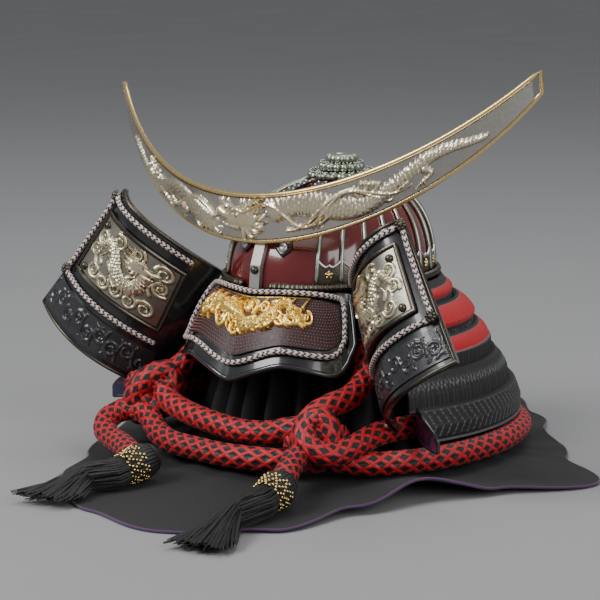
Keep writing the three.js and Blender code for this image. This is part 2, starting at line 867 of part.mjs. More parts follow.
const wingTop = [
  point(wingTopSpan, -wingTopForward, wingTopHeight),
  point(wingTopSpan * 0.81, -wingTopForward * 1.4, wingTopHeight - 8),
  point(bowlHalfWidth - 5, -bowlHalfLength * 0.605, rimHeight + 2),
];
const wingBottom = [
  point(wingBottomSpan, -wingBottomForward, wingBottomHeight),
  point(wingBottomSpan * 0.71, -wingBottomForward * 1.32, wingBottomHeight - 26),
  point(bowlHalfWidth + neckFlare * 0.74, -bowlHalfLength * 0.81, rimHeight - neckDrop * 0.9),
];
const wingTopEdge = new THREE.QuadraticBezierCurve3(...wingTop);
const wingBottomEdge = new THREE.QuadraticBezierCurve3(...wingBottom);

function wingPoint(u, v) {
  return wingTopEdge.getPoint(u).lerp(wingBottomEdge.getPoint(u), v);
}

// Rows of the wing, from its top edge down: piping, frame, panel, piping, leather.
const wingRows = { pipingTop: 0.06, panelTop: 0.14, panelBottom: 0.6, pipingLow: 0.68, leatherTop: 0.74 };
const wingColumns = { pipingOut: 0.05, panelOut: 0.12, panelRoot: 0.86 };
const wingFace = wingThickness / 2;

function wingPieces() {
  const low = wingFace + clearance;
  const plate = sheetOn(wingPoint, wholePatch, -wingFace, wingFace, 9, 3);
  const panel = sheetOn(wingPoint, (s, t) => [
    mix(wingColumns.panelOut, wingColumns.panelRoot, s),
    mix(wingRows.panelTop, wingRows.panelBottom, t),
  ], low, low + wingPanelThickness, 8, 2);
  const leather = sheetOn(wingPoint, (s, t) => [
    mix(0.03, wingColumns.panelRoot, s),
    mix(wingRows.leatherTop, 0.95, t),
  ], low, low + wingLeatherThickness, 8, 1);
  const pipingHeight = low + pipingDiameter / 2;
  const run = [];
  const stops = [
    ...[0.86, 0.7, 0.5, 0.3, 0.14].map((u) => [u, wingRows.pipingTop]),
    [wingColumns.pipingOut, wingRows.pipingTop],
    ...[0.2, 0.4, 0.58].map((v) => [wingColumns.pipingOut, v]),
    [wingColumns.pipingOut, wingRows.pipingLow],
    ...[0.14, 0.3, 0.5, 0.7, 0.86].map((u) => [u, wingRows.pipingLow]),
  ];
  for (const [u, v] of stops) run.push(raised(wingPoint, u, v, pipingHeight));
  const piping = openTube(run, pipingDiameter, 4, 24);
  const onPiping = pipingHeight + pipingDiameter / 2 + clearance;
  const rosette = (v) => (
    bossOn(wingPoint, wingColumns.pipingOut, v, onPiping, rosetteDiameter, rosetteHeight)
  );
  const rivet = (v) => bossOn(wingPoint, 0.2, v, reliefLow, rivetDiameter, rivetHeight);
  const reliefLow = low + wingPanelThickness + clearance;
  return {
    plate,
    panel,
    leather,
    piping,
    rosette_top: rosette(wingRows.pipingTop),
    rosette_mid: rosette(wingRows.pipingLow),
    relief: wingRelief(reliefLow),
    rivet_a: rivet(0.22),
    rivet_b: rivet(0.54),
    lower_turn: lowerTurn(),
    peg: bossOn(wingPoint, 0.93, 0.97, low, pegDiameter, pegDiameter * 0.9),
  };
}

// Dragon and wave relief on the panel, fused to its own backing
function wingRelief(low) {
  const backing = sheetOn(wingPoint, (s, t) => [
    mix(0.28, 0.82, s),
    mix(0.37, t < 0.5 ? 0.18 : 0.56, Math.abs(2 * t - 1) * (0.8 + 0.2 * (Math.round(s * 8) % 2))),
  ], low, low + wingReliefDepth * 0.4, 8, 2);
  const inside = low + wingReliefDepth * 0.25;
  const body = [];
  for (let i = 0; i <= 10; i += 1) {
    const share = i / 10;
    body.push([mix(0.34, 0.78, share), 0.34 + 0.1 * Math.sin(share * 8)]);
  }
  const thick = wingReliefDepth * 2.4;
  const curls = [[0.32, 0.49], [0.5, 0.5], [0.7, 0.49]].map(
    ([u, v]) => bossOn(wingPoint, u, v, inside, thick * 1.2, wingReliefDepth),
  );
  return fuse([
    backing,
    ridgeOn(wingPoint, body, [thick * 0.6, thick, thick, thick * 0.5], inside, wingReliefDepth),
    ...curls,
  ]);
}

// Small leather-faced turn-back of the lowest lame
function lowerTurn() {
  const lame = lames[lames.length - 1];
  const out = neckFlare * lame.spread + lameWall / 2;
  const root = point(
    (bowlHalfWidth + out) * Math.sin(radians(lame.front - 0.6)),
    -(bowlHalfLength + out) * Math.cos(radians(lame.front - 0.6)),
    rimHeight - neckDrop * lame.bottom + lowerTurnSpan * 0.16,
  );
  const at = (u, v) => {
    const curl = Math.sin(u * Math.PI * 0.5);
    const tall = 0.8 * lowerTurnSpan * Math.sqrt(1 - 0.85 * u * u);
    return root.clone().add(point(
      lowerTurnSpan * u,
      -0.6 * lowerTurnSpan * curl,
      -0.12 * lowerTurnSpan * u + tall * (1 - v) * 0.8,
    ));
  };
  return sheetOn(at, wholePatch, -lowerTurnThickness / 2, lowerTurnThickness / 2, 5, 2);
}

const wingFinish = {
  plate: 'blackLacquer',
  panel: 'silver',
  leather: 'leather',
  piping: 'piping',
  rosette_top: 'bronze',
  rosette_mid: 'bronze',
  relief: 'paleGold',
  rivet_a: 'bronze',
  rivet_b: 'bronze',
  lower_turn: 'leather',
  peg: 'silver',
};
for (const [part, geometry] of Object.entries(wingPieces())) {
  addPiece(`wing_left_${part}`, geometry, wingFinish[part]);
  addPiece(`wing_right_${part}`, mirrored(geometry), wingFinish[part]);
}

// Stand: flat base, post and rounded head, one plain piece

const bowlTopInside = (radius) => {
  const share = radius / (bowlHalfWidth - bowlWall);
  return rimHeight + (bowlHeight - bowlWall) * (1 - share ** bowlFullness) ** (1 / bowlFullness);
};
const capDrop = 0.2 * crownSetBack;
const clothCapTop = (radius) => bowlTopInside(radius) - clearance - capDrop;
const headTop = (radius) => clothCapTop(radius) - clothThickness - 3 * clearance;

function stand() {
  const edge = headDiameter / 2;
  const profile = [
    [0, 0], [baseDiameter / 2, 0], [baseDiameter / 2, baseThickness],
    [postDiameter / 2, baseThickness], [postDiameter / 2, headTop(edge) - headEdgeHeight],
    [edge, headTop(edge) - headEdgeHeight], [edge, headTop(edge)],
    [edge * 0.66, headTop(edge * 0.66)], [edge * 0.33, headTop(edge * 0.33)], [0, headTop(0)],
  ].map(([r, z]) => new THREE.Vector2(r, z));
  const turned = new THREE.LatheGeometry(profile, 16);
  turned.rotateX(Math.PI / 2);
  return cleanGeometry(turned);
}
addPiece('stand_post', stand(), 'wood');

// Cloth: a cap inside the bowl, a tent below it and a skirt on the floor.
// Reach is a share of skirtReach, lift the height of the hem in millimetres.

const hem = [
  { at: 0, reach: 1.0, lift: 0 },
  { at: 14, reach: 1.08, lift: 0 },
  { at: 30, reach: 1.0, lift: 0 },
  { at: 42, reach: 0.82, lift: 4 },
  { at: 58, reach: 0.72, lift: 12 },
  { at: 74, reach: 0.74, lift: 3 },
  { at: 93, reach: 0.86, lift: 0 },
  { at: 112, reach: 0.68, lift: 0 },
  { at: 135, reach: 0.62, lift: 3 },
  { at: 160, reach: 0.72, lift: 0 },
  { at: 180, reach: 0.88, lift: 0 },
  { at: 200, reach: 0.72, lift: 2 },
  { at: 225, reach: 0.6, lift: 0 },
  { at: 245, reach: 0.68, lift: 2 },
  { at: 258, reach: 0.74, lift: 0 },
  { at: 275, reach: 0.66, lift: 0 },
  { at: 300, reach: 0.62, lift: 4 },
  { at: 322, reach: 0.7, lift: 0 },
  { at: 342, reach: 0.85, lift: 0 },
];

// Tent rows: out is a share of bowlHalfWidth, height a share of rimHeight, fold a depth in mm.
const tent = [
  { out: 0.66, height: 1.33, fold: 0 },
  { out: 0.74, height: 1.2, fold: 0 },
  { out: 0.86, height: 1.02, fold: 0.6 },
  { out: 1.04, height: 0.8, fold: 1.6 },
  { out: 1.22, height: 0.53, fold: 2.6 },
  { out: 1.34, height: 0.33, fold: 3.2 },
  { out: 1.5, height: 0.12, fold: 3.6 },
];

const capRows = 3;
const skirtRows = 3;

function clothPoint(turn, row, inward) {
  const angle = radians(turn);
  const around = (reach, z) => point(Math.sin(angle) * reach, -Math.cos(angle) * reach, z);
  const wave = Math.sin(7 * angle + 0.6) * 0.6 + Math.sin(4 * angle + 2.1) * 0.4;
  if (row < capRows) {
    const reach = (headDiameter / 2) * (row / (capRows - 1));
    return around(reach, clothCapTop(reach) - inward);
  }
  const tentRow = row - capRows;
  if (tentRow < tent.length) {
    const { out, height, fold } = tent[tentRow];
    return around(out * bowlHalfWidth + fold * wave - inward, height * rimHeight);
  }
  const foot = tent[tent.length - 1];
  const skirt = (tentRow - tent.length + 1) / skirtRows;
  const reach = mix(foot.out * bowlHalfWidth, readRound(hem, turn, 'reach') * skirtReach, skirt);
  const lift = readRound(hem, turn, 'lift');
  const fall = foot.height * rimHeight * (1 - skirt) ** 4;
  const ripple = 0.4 * (1 - skirt) * (1 + wave);
  const height = clothThickness + fall * 0.9 + ripple + lift * skirt * skirt;
  return around(reach, height - inward);
}

const clothAround = 40;
const clothRows = capRows + tent.length + skirtRows - 1;
addPiece(
  'cover_cloth',
  shellBetween(
    (u, v) => clothPoint(360 * u, Math.round(v * clothRows), 0),
    (u, v) => clothPoint(360 * u, Math.round(v * clothRows), clothThickness),
    clothAround,
    clothRows,
    true,
  ),
  'cloth',
);

// Cords: one chin cord, double round the cloth, with a knot at each side of the front.
// The points lie on the rope's middle line.

const cordRoutes = {
  cord_front_upper: [
    [-53.6, -82.9, 34.3], [-50, -84.4, 32], [-32, -90, 29.4], [-10, -95, 27.8],
    [12, -97, 26.5], [32, -96, 28], [44.7, -94.3, 31.4],
  ],
  cord_front_lower: [
    [-62.2, -87.1, 24.7], [-50, -97, 17], [-32, -104.6, 15.2], [-10, -108.6, 15.2],
    [12, -110.4, 15.2], [32, -107.6, 15.4], [49.4, -99.3, 15.2],
  ],
  cord_back_upper: [
    [69.5, -77.1, 30.1], [78, -60, 29], [84, -34, 28], [87, 0, 27], [82, 36, 27],
    [62, 66, 27], [30, 84, 27], [-8, 90, 27], [-46, 78, 27], [-76, 50, 27],
    [-88, 16, 27], [-88, -16, 27], [-82, -44, 29], [-73.5, -68.1, 32.5],
  ],
  cord_back_lower: [
    [74.2, -85.1, 15], [84, -78, 15], [98, -56, 14], [107, -24, 14], [106, 22, 14],
    [87, 68, 14], [48, 99, 14], [0, 109, 14], [-48, 99, 14], [-87, 68, 14],
    [-106, 22, 14], [-105, -20, 13.8], [-97, -54, 14], [-80, -80.7, 21.3],
  ],
  cord_rise_left: [
    [63.9, -82.6, 42.4], [66, -62, 45.5], [64, -52, 53], [60, -45, 62], [55, -42, 73],
  ],
  cord_rise_right: [[-60.6, -66.6, 48], [-60, -57, 52], [-57, -47, 62], [-55, -41, 73]],
  cord_tail_left: [[64.1, -102.5, 20], [66, -116, 20], [72, -127, 18], [77.8, -140.3, 16.3]],
  cord_tail_right: [
    [-73.6, -92.5, 20.9], [-68, -108.4, 14.6], [-55, -119.6, 14], [-40, -131, 14.4], [-23.3, -143, 14],
  ],
};
for (const [name, route] of Object.entries(cordRoutes)) {
  const points = route.map(([x, y, z]) => point(x, y, z));
  const length = new THREE.CatmullRomCurve3(points).getLength();
  const steps = Math.max(2, Math.round(length / (2.6 * cordDiameter)));
  addPiece(name, openTube(points, cordDiameter, 8, steps), 'cord');
}

// Knots: a long loop of the rope with a turn wrapped round its waist
function knot(centre, along, across, halfLength, halfWidth) {
  const outward = along.clone().cross(across);
  const loop = [];
  for (let i = 0; i < 10; i += 1) {
    const angle = (i / 10) * Math.PI * 2;
    loop.push(centre.clone()
      .addScaledVector(along, Math.cos(angle) * halfLength)
      .addScaledVector(across, Math.sin(angle) * halfWidth));
  }
  const wrap = [-1, 0, 1].map((share) => centre.clone()
    .addScaledVector(across, share * halfWidth * 1.5)
    .addScaledVector(outward, (1 - Math.abs(share)) * cordDiameter * 0.45));
  return fuse([
    loopTube(loop, cordDiameter, 7, 14),
    openTube(wrap, cordDiameter, 7, 4),
  ]);
}

const knotLeftPlace = point(62, -92, 27);
const knotRightPlace = point(-68, -80, 35);
addPiece(
  'knot_left',
  knot(knotLeftPlace, point(0.1, 0, 1).normalize(), point(0.8, 0.6, 0), 12, 8),
  'cord',
);
addPiece(
  'knot_right',
  knot(knotRightPlace, point(0.52, 0.42, 0.74).normalize(), point(0.62, 0.3, -0.61).normalize(), 15, 8),
  'cord',
);

// Tassels: a round head and a fan of locks lying on the cloth and the floor
function tassel(head, lockHeight, ends) {
  const ball = new THREE.IcosahedronGeometry(tasselHeadDiameter / 2, 1);
  ball.translate(head.x, head.y, head.z);
  const locks = ends.map(([x, y]) => {
    const end = point(x, y, lockHeight);
    const middle = head.clone().lerp(end, 0.5).add(point(0, 0, 1.5));
    const widths = [tasselLockDiameter * 1.6, tasselLockDiameter * 1.8, tasselLockDiameter];
    return taperTube([head, middle, end], widths, 5, 4, 0.9);
  });
  return fuse([cleanGeometry(ball), ...locks]);
}
addPiece(
  'tassel_left',
  tassel(point(82, -150, 14), 5, [[80, -234], [93, -237], [105, -232], [115, -220]]),
  'tassel',
);
addPiece(
  'tassel_right',
  tassel(point(-15, -149, 14), 5.4, [[-46, -216], [-36, -222], [-24, -220], [-11, -213]]),
  'tassel',
);

export default helmet;
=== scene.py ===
# %% [markdown]
# # A kabuto on its cloth-draped stand
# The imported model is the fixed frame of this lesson: each piece that Blender adds lies where
# that model says. Surfaces are written in millimetres, as they are on the drawing board, and
# are turned into metres when a mesh is made.

# %% Load the frame
import math
import random

import bmesh
import bpy
import numpy as np
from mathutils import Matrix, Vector, noise


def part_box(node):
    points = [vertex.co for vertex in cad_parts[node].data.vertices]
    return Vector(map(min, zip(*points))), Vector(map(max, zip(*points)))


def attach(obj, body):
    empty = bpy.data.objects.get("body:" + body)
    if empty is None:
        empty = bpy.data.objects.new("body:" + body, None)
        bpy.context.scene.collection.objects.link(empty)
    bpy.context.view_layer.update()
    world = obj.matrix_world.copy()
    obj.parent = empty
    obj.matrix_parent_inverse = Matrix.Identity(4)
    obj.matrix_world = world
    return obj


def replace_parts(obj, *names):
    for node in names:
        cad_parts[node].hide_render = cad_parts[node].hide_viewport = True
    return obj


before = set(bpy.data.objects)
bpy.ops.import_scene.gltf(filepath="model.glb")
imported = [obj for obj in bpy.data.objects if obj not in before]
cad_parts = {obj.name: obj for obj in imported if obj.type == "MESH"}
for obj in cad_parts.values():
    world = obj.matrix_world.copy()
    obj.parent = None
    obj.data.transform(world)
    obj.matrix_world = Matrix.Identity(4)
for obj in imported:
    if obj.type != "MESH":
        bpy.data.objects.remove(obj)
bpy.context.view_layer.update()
print("solids:", len(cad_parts))

# %% [markdown]
# ## Camera, floor and light
# A long lens from a little above the brim keeps the crest's sweep undistorted. The floor is
# plain and pale, and three large soft lamps stand in for a studio's light boxes.

# %% Camera
VIEW_TURN = math.radians(39)
VIEW_RISE = math.radians(9.55)
camera_data = bpy.data.cameras.new("camera")
camera_data.lens = 144.8
camera_data.sensor_width = 36
camera_data.clip_end = 20
camera = bpy.data.objects.new("camera", camera_data)
bpy.context.scene.collection.objects.link(camera)
look_back = Vector((math.sin(VIEW_TURN) * math.cos(VIEW_RISE),
                    -math.cos(VIEW_TURN) * math.cos(VIEW_RISE), math.sin(VIEW_RISE)))
camera.location = (0.85744, -1.08835, 0.31867)
camera.rotation_mode = "QUATERNION"
camera.rotation_quaternion = (-look_back).to_track_quat("-Z", "Y")
bpy.context.scene.camera = camera

# %% Floor
floor_mesh = bmesh.new()
bmesh.ops.create_grid(floor_mesh, x_segments=1, y_segments=1, size=6)
floor_data = bpy.data.meshes.new("floor")
floor_mesh.to_mesh(floor_data)
floor_mesh.free()
floor = bpy.data.objects.new("floor", floor_data)
bpy.context.scene.collection.objects.link(floor)


# %% Lamps
def soft_lamp(name, place, aim, size, power):
    lamp = bpy.data.lights.new(name, "AREA")
    lamp.shape = "SQUARE"
    lamp.size = size
    lamp.energy = power
    holder = bpy.data.objects.new(name, lamp)
    bpy.context.scene.collection.objects.link(holder)
    holder.location = place
    way = Vector(aim) - Vector(place)
    holder.rotation_mode = "QUATERNION"
    holder.rotation_quaternion = way.to_track_quat("-Z", "Y")


soft_lamp("lamp_key", (-0.5, -1.3, 1.3), (0, 0, 0.1), 0.9, 32)
soft_lamp("lamp_fill", (1.7, -0.5, 0.9), (0, 0, 0.1), 1.1, 17)
soft_lamp("lamp_top", (0.1, 0.5, 1.7), (0, 0, 0.1), 1.2, 16)

world = bpy.data.worlds.new("studio")
world.use_nodes = True
world.node_tree.nodes["Background"].inputs["Color"].default_value = (0.8, 0.82, 0.85, 1)
world.node_tree.nodes["Background"].inputs["Strength"].default_value = 0.42
bpy.context.scene.world = world


# %% [markdown]
# ## Shared effects
# Real finishes vary over a surface. Four small node groups are built once and placed in the
# materials: a grain that mottles a colour, the two-way lattice of a braided cord, a
# herringbone for piping, and the fine threads of lacing. They give masks and heights only.

# %% A helper for node groups
def effect_group(name, inputs, outputs):
    tree = bpy.data.node_groups.new(name, "ShaderNodeTree")
    for label, value in inputs:
        socket = tree.interface.new_socket(label, in_out="INPUT", socket_type="NodeSocketFloat")
        socket.default_value = value
    for label in outputs:
        tree.interface.new_socket(label, in_out="OUTPUT", socket_type="NodeSocketFloat")
    return tree, tree.nodes.new("NodeGroupInput"), tree.nodes.new("NodeGroupOutput")


def math_node(tree, operation, first, second=None, third=None):
    node = tree.nodes.new("ShaderNodeMath")
    node.operation = operation
    for slot, value in enumerate((first, second, third)):
        if value is None:
            continue
        if isinstance(value, (int, float)):
            node.inputs[slot].default_value = value
        else:
            tree.links.new(value, node.inputs[slot])
    return node.outputs[0]


# %% Grain: mottling in object space, sized in marks per metre
def make_grain():
    tree, given, result = effect_group("grain", [("Scale", 300), ("Detail", 4)], ["Mask"])
    place = tree.nodes.new("ShaderNodeTexCoord")
    cloud = tree.nodes.new("ShaderNodeTexNoise")
    tree.links.new(place.outputs["Object"], cloud.inputs["Vector"])
    tree.links.new(given.outputs["Scale"], cloud.inputs["Scale"])
    tree.links.new(given.outputs["Detail"], cloud.inputs["Detail"])
    tree.links.new(cloud.outputs["Fac"], result.inputs["Mask"])
    return tree


# %% Braid: two sets of strands that cross on the cord's own UV map
def uv_parts(tree):
    place = tree.nodes.new("ShaderNodeUVMap")
    place.uv_map = "UVMap"
    parts = tree.nodes.new("ShaderNodeSeparateXYZ")
    tree.links.new(place.outputs["UV"], parts.inputs[0])
    return parts.outputs[0], parts.outputs[1]


def make_braid():
    tree, given, result = effect_group(
        "braid", [("Strands", 6), ("Pitch", 90), ("Width", 0.3)], ["Mask", "Height"])
    around, along = uv_parts(tree)
    turns = math_node(tree, "MULTIPLY", around, given.outputs["Strands"])
    runs = math_node(tree, "MULTIPLY", along, given.outputs["Pitch"])
    waves = []
    for operation in ("ADD", "SUBTRACT"):
        cross = math_node(tree, operation, turns, runs)
        wave = math_node(tree, "PINGPONG", cross, 0.5)
        waves.append(math_node(tree, "MULTIPLY", wave, 2))
    edge = math_node(tree, "MINIMUM", waves[0], waves[1])
    mask = math_node(tree, "LESS_THAN", edge, given.outputs["Width"])
    height = math_node(tree, "SUBTRACT", 1, edge)
    tree.links.new(mask, result.inputs["Mask"])
    tree.links.new(height, result.inputs["Height"])
    return tree


# %% Herringbone: slanted stitches that meet at the middle of a piping
def make_herringbone():
    tree, given, result = effect_group("herringbone", [("Pitch", 400)], ["Mask", "Height"])
    around, along = uv_parts(tree)
    runs = math_node(tree, "MULTIPLY", along, given.outputs["Pitch"])
    slant = math_node(tree, "PINGPONG", math_node(tree, "MULTIPLY", around, 4), 0.5)
    wave = math_node(tree, "PINGPONG", math_node(tree, "ADD", runs, slant), 0.5)
    tree.links.new(math_node(tree, "GREATER_THAN", wave, 0.21), result.inputs["Mask"])
    tree.links.new(wave, result.inputs["Height"])
    return tree


# %% Threads: fine parallel lines across a UV map
def make_threads():
    tree, given, result = effect_group("threads", [("Pitch", 900)], ["Height"])
    around, _ = uv_parts(tree)
    runs = math_node(tree, "MULTIPLY", around, given.outputs["Pitch"])
    wave = math_node(tree, "PINGPONG", runs, 0.5)
    tree.links.new(wave, result.inputs["Height"])
    return tree


EFFECTS = {"grain": make_grain(), "braid": make_braid(),
           "herringbone": make_herringbone(), "threads": make_threads()}
print("effects:", ", ".join(EFFECTS))


# %% [markdown]
# ## A small kit for materials
# Each finish starts from one function that sets the shader, mottles its colour between two
# tones with the grain, and raises a fine bump. Pieces with their own pattern add to it.

# %% Material helpers
def place_effect(tree, name, **values):
    node = tree.nodes.new("ShaderNodeGroup")
    node.node_tree = EFFECTS[name]
    for label, value in values.items():
        node.inputs[label].default_value = value
    return node


def blend_colours(tree, factor, first, second):
    node = tree.nodes.new("ShaderNodeMix")
    node.data_type = "RGBA"
    tree.links.new(factor, node.inputs[0])
    for slot, colour in ((6, first), (7, second)):
        if isinstance(colour, tuple):
            node.inputs[slot].default_value = (*colour, 1)
        else:
            tree.links.new(colour, node.inputs[slot])
    return node.outputs[2]


def raise_bump(material, height, depth):
    tree = material.node_tree
    bump = tree.nodes.new("ShaderNodeBump")
    bump.inputs["Distance"].default_value = depth
    bump.inputs["Strength"].default_value = 1.0
    tree.links.new(height, bump.inputs["Height"])
    tree.links.new(bump.outputs[0], tree.nodes["Principled BSDF"].inputs["Normal"])


def finish(name, dark, light, rough=0.4, metal=0.0, grain=300, depth=0.00005, coat=0.0,
           sheen=0.0):
    material = bpy.data.materials.new(name)
    material.use_nodes = True
    tree = material.node_tree
    shader = tree.nodes["Principled BSDF"]
    mottle = place_effect(tree, "grain", Scale=grain)
    colour = blend_colours(tree, mottle.outputs["Mask"], dark, light)
    tree.links.new(colour, shader.inputs["Base Color"])
    spread = tree.nodes.new("ShaderNodeMapRange")
    spread.inputs["To Min"].default_value = rough * 0.8
    spread.inputs["To Max"].default_value = min(1, rough * 1.25)
    tree.links.new(mottle.outputs["Mask"], spread.inputs["Value"])
    tree.links.new(spread.outputs[0], shader.inputs["Roughness"])
    shader.inputs["Metallic"].default_value = metal
    shader.inputs["Coat Weight"].default_value = coat
    shader.inputs["Coat Roughness"].default_value = 0.06
    shader.inputs["Sheen Weight"].default_value = sheen
    raise_bump(material, mottle.outputs["Mask"], depth)
    return material


def recolour(material, factor, first, second):
    tree = material.node_tree
    shader = tree.nodes["Principled BSDF"]
    tree.links.new(blend_colours(tree, factor, first, second), shader.inputs["Base Color"])


def read_layer(material, name):
    node = material.node_tree.nodes.new("ShaderNodeAttribute")
    node.attribute_name = name
    return node.outputs["Fac"]


# %% Plain finishes
RED_LACQUER = finish("red_lacquer", (0.085, 0.003, 0.004), (0.13, 0.006, 0.007),
                     rough=0.2, grain=60, depth=0.00003, coat=0.8)
BLACK_LACQUER = finish("black_lacquer", (0.006, 0.006, 0.007), (0.014, 0.014, 0.016),
                       rough=0.24, grain=80, depth=0.00003, coat=0.6)
PEWTER = finish("pewter", (0.26, 0.29, 0.23), (0.5, 0.53, 0.45), rough=0.3, metal=1,
                grain=700, depth=0.00006)
BRONZE = finish("dark_bronze", (0.03, 0.027, 0.022), (0.16, 0.14, 0.11), rough=0.32, metal=1,
                grain=900, depth=0.00008)
SILVER = finish("satin_silver", (0.42, 0.42, 0.4), (0.6, 0.6, 0.57), rough=0.38, metal=1,
                grain=1200, depth=0.00003)
GOLD_RIM = finish("gilt_rim", (0.72, 0.5, 0.2), (0.9, 0.7, 0.36), rough=0.26, metal=1,
                  grain=500, depth=0.00004)
GILT = finish("gilt", (0.78, 0.42, 0.06), (1.0, 0.68, 0.18), rough=0.3, metal=1,
              grain=900, depth=0.00012)
SHAGREEN = finish("shagreen", (0.012, 0.0018, 0.0028), (0.03, 0.004, 0.006), rough=0.45,
                  grain=900, depth=0.0002)
SHAGREEN_DOTS = finish("shagreen_dots", (0.2, 0.06, 0.06), (0.42, 0.2, 0.18), rough=0.35,
                       grain=400)
WOOD = finish("plain_wood", (0.22, 0.12, 0.055), (0.36, 0.22, 0.11), rough=0.6, grain=120,
              depth=0.0002)
PURPLE = finish("purple_hem", (0.035, 0.008, 0.045), (0.075, 0.02, 0.09), rough=0.75,
                grain=900, depth=0.0001, sheen=0.2)
BLACK_THREAD = finish("black_thread", (0.002, 0.002, 0.0022), (0.009, 0.009, 0.01), rough=0.55,
                      grain=2000, sheen=0.04)
GOLD_BEAD = finish("gold_bead", (0.5, 0.36, 0.12), (0.8, 0.62, 0.28), rough=0.22, metal=1,
                   grain=500)
PEARL = finish("pink_pearl", (0.6, 0.3, 0.24), (0.85, 0.55, 0.46), rough=0.3, coat=0.5,
               grain=200)
FLOOR_PAINT = finish("floor_paint", (0.235, 0.235, 0.238), (0.25, 0.25, 0.253), rough=0.7, grain=6,
                     depth=0.0001)
floor.data.materials.append(FLOOR_PAINT)

# %% Cast relief: the hollows stay dark and the raised parts are rubbed bright
CAST = {}
for cast_name, hollow, ground, body, bright in (
    ("crest_cast", (0.16, 0.15, 0.13), (0.52, 0.5, 0.46), (0.8, 0.7, 0.5), (1.0, 0.86, 0.56)),
    ("wing_cast", (0.06, 0.057, 0.05), (0.36, 0.34, 0.29), (0.74, 0.66, 0.46), (1.0, 0.9, 0.64)),
):
    cast = finish(cast_name, ground, body, rough=0.32, metal=1, grain=900, depth=0.00006)
    cast_tree = cast.node_tree
    ramp = cast_tree.nodes.new("ShaderNodeValToRGB")
    ramp.color_ramp.elements[0].color = (*hollow, 1)
    ramp.color_ramp.elements[1].color = (*bright, 1)
    for stop, tone in ((0.22, ground), (0.62, body)):
        ramp.color_ramp.elements.new(stop).color = (*tone, 1)
    cast_tree.links.new(read_layer(cast, "tone"), ramp.inputs[0])
    mottle = place_effect(cast_tree, "grain", Scale=500)
    recolour(cast, math_node(cast_tree, "MULTIPLY", mottle.outputs["Mask"], 0.35),
             ramp.outputs[0], hollow)
    CAST[cast_name] = cast

# %% Carved leather, braids, lacing and crepe
CARVED = finish("carved_leather", (0.008, 0.008, 0.009), (0.03, 0.03, 0.033), rough=0.3,
                grain=700, depth=0.00008, coat=0.4)

PRINTED = finish("printed_leather", (0.01, 0.012, 0.03), (0.03, 0.04, 0.11), rough=0.45,
                 grain=900, coat=0.2)
print_marks = place_effect(PRINTED.node_tree, "grain", Scale=240, Detail=1)
recolour(PRINTED, math_node(PRINTED.node_tree, "GREATER_THAN", print_marks.outputs["Mask"],
                            0.54), (0.012, 0.016, 0.06), (0.16, 0.015, 0.06))

PIPING = finish("braided_piping", (0.5, 0.45, 0.44), (0.7, 0.66, 0.64), rough=0.7, grain=900)
stitch = place_effect(PIPING.node_tree, "herringbone", Pitch=320)
recolour(PIPING, stitch.outputs["Mask"], (0.012, 0.006, 0.006), (0.6, 0.5, 0.47))
raise_bump(PIPING, stitch.outputs["Height"], 0.0003)

ROPE = finish("braided_rope", (0.3, 0.004, 0.01), (0.5, 0.008, 0.02), rough=0.55, grain=700,
              sheen=0.05)
STRANDS, TWISTS = 6, 115
weave = place_effect(ROPE.node_tree, "braid", Strands=STRANDS, Pitch=TWISTS, Width=0.36)
thread_tone = place_effect(ROPE.node_tree, "grain", Scale=1500)
red_tone = blend_colours(ROPE.node_tree, thread_tone.outputs["Mask"],
                         (0.26, 0.0015, 0.004), (0.6, 0.004, 0.012))
recolour(ROPE, weave.outputs["Mask"], (0.003, 0.002, 0.002), red_tone)
raise_bump(ROPE, weave.outputs["Height"], 0.0006)

LACING = finish("silk_lacing", (0.02, 0.02, 0.022), (0.05, 0.05, 0.055), rough=0.6, grain=900,
                sheen=0.04)
ramp = LACING.node_tree.nodes.new("ShaderNodeValToRGB")
ramp.color_ramp.interpolation = "CONSTANT"
ramp.color_ramp.elements[0].color = (0.0035, 0.0035, 0.004, 1)
ramp.color_ramp.elements[1].color = (0.5, 0.004, 0.008, 1)
ramp.color_ramp.elements[1].position = 0.75
for stop, tone in ((0.25, (0.017, 0.017, 0.018)), (0.5, (0.105, 0.105, 0.11))):
    ramp.color_ramp.elements.new(stop).color = (*tone, 1)
LACING.node_tree.links.new(read_layer(LACING, "tone"), ramp.inputs[0])
shade = place_effect(LACING.node_tree, "grain", Scale=900)
recolour(LACING, math_node(LACING.node_tree, "MULTIPLY", shade.outputs["Mask"], 0.4),
         ramp.outputs[0], (0.004, 0.003, 0.003))
threads = place_effect(LACING.node_tree, "threads", Pitch=900)
raise_bump(LACING, threads.outputs["Height"], 0.0002)

CREPE = finish("black_crepe", (0.003, 0.003, 0.0033), (0.0085, 0.0085, 0.009), rough=0.9,
               grain=1100, depth=0.0004, sheen=0.03)
print("materials:", len(bpy.data.materials))

# %% [markdown]
# ## A small kit for surfaces
# Most pieces are a grid that is laid over a curved surface, or a tube that follows a path.
# The grid and the tube both begin with a bmesh grid, so Blender makes the faces and the code
# only says where each corner goes.

# %% Surface helpers
MM = 0.001


def mix(low, high, share):
    return low + (high - low) * share


def put_in_scene(name, bm, material, sharp=35):
    for face in bm.faces:
        face.smooth = True
    limit = math.radians(sharp)
    for edge in bm.edges:
        edge.smooth = not edge.is_manifold or edge.calc_face_angle(0) < limit
    data = bpy.data.meshes.new(name)
    bm.to_mesh(data)
    bm.free()
    data.materials.append(material)
    piece = bpy.data.objects.new(name, data)
    bpy.context.scene.collection.objects.link(piece)
    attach(piece, "root")
    return piece


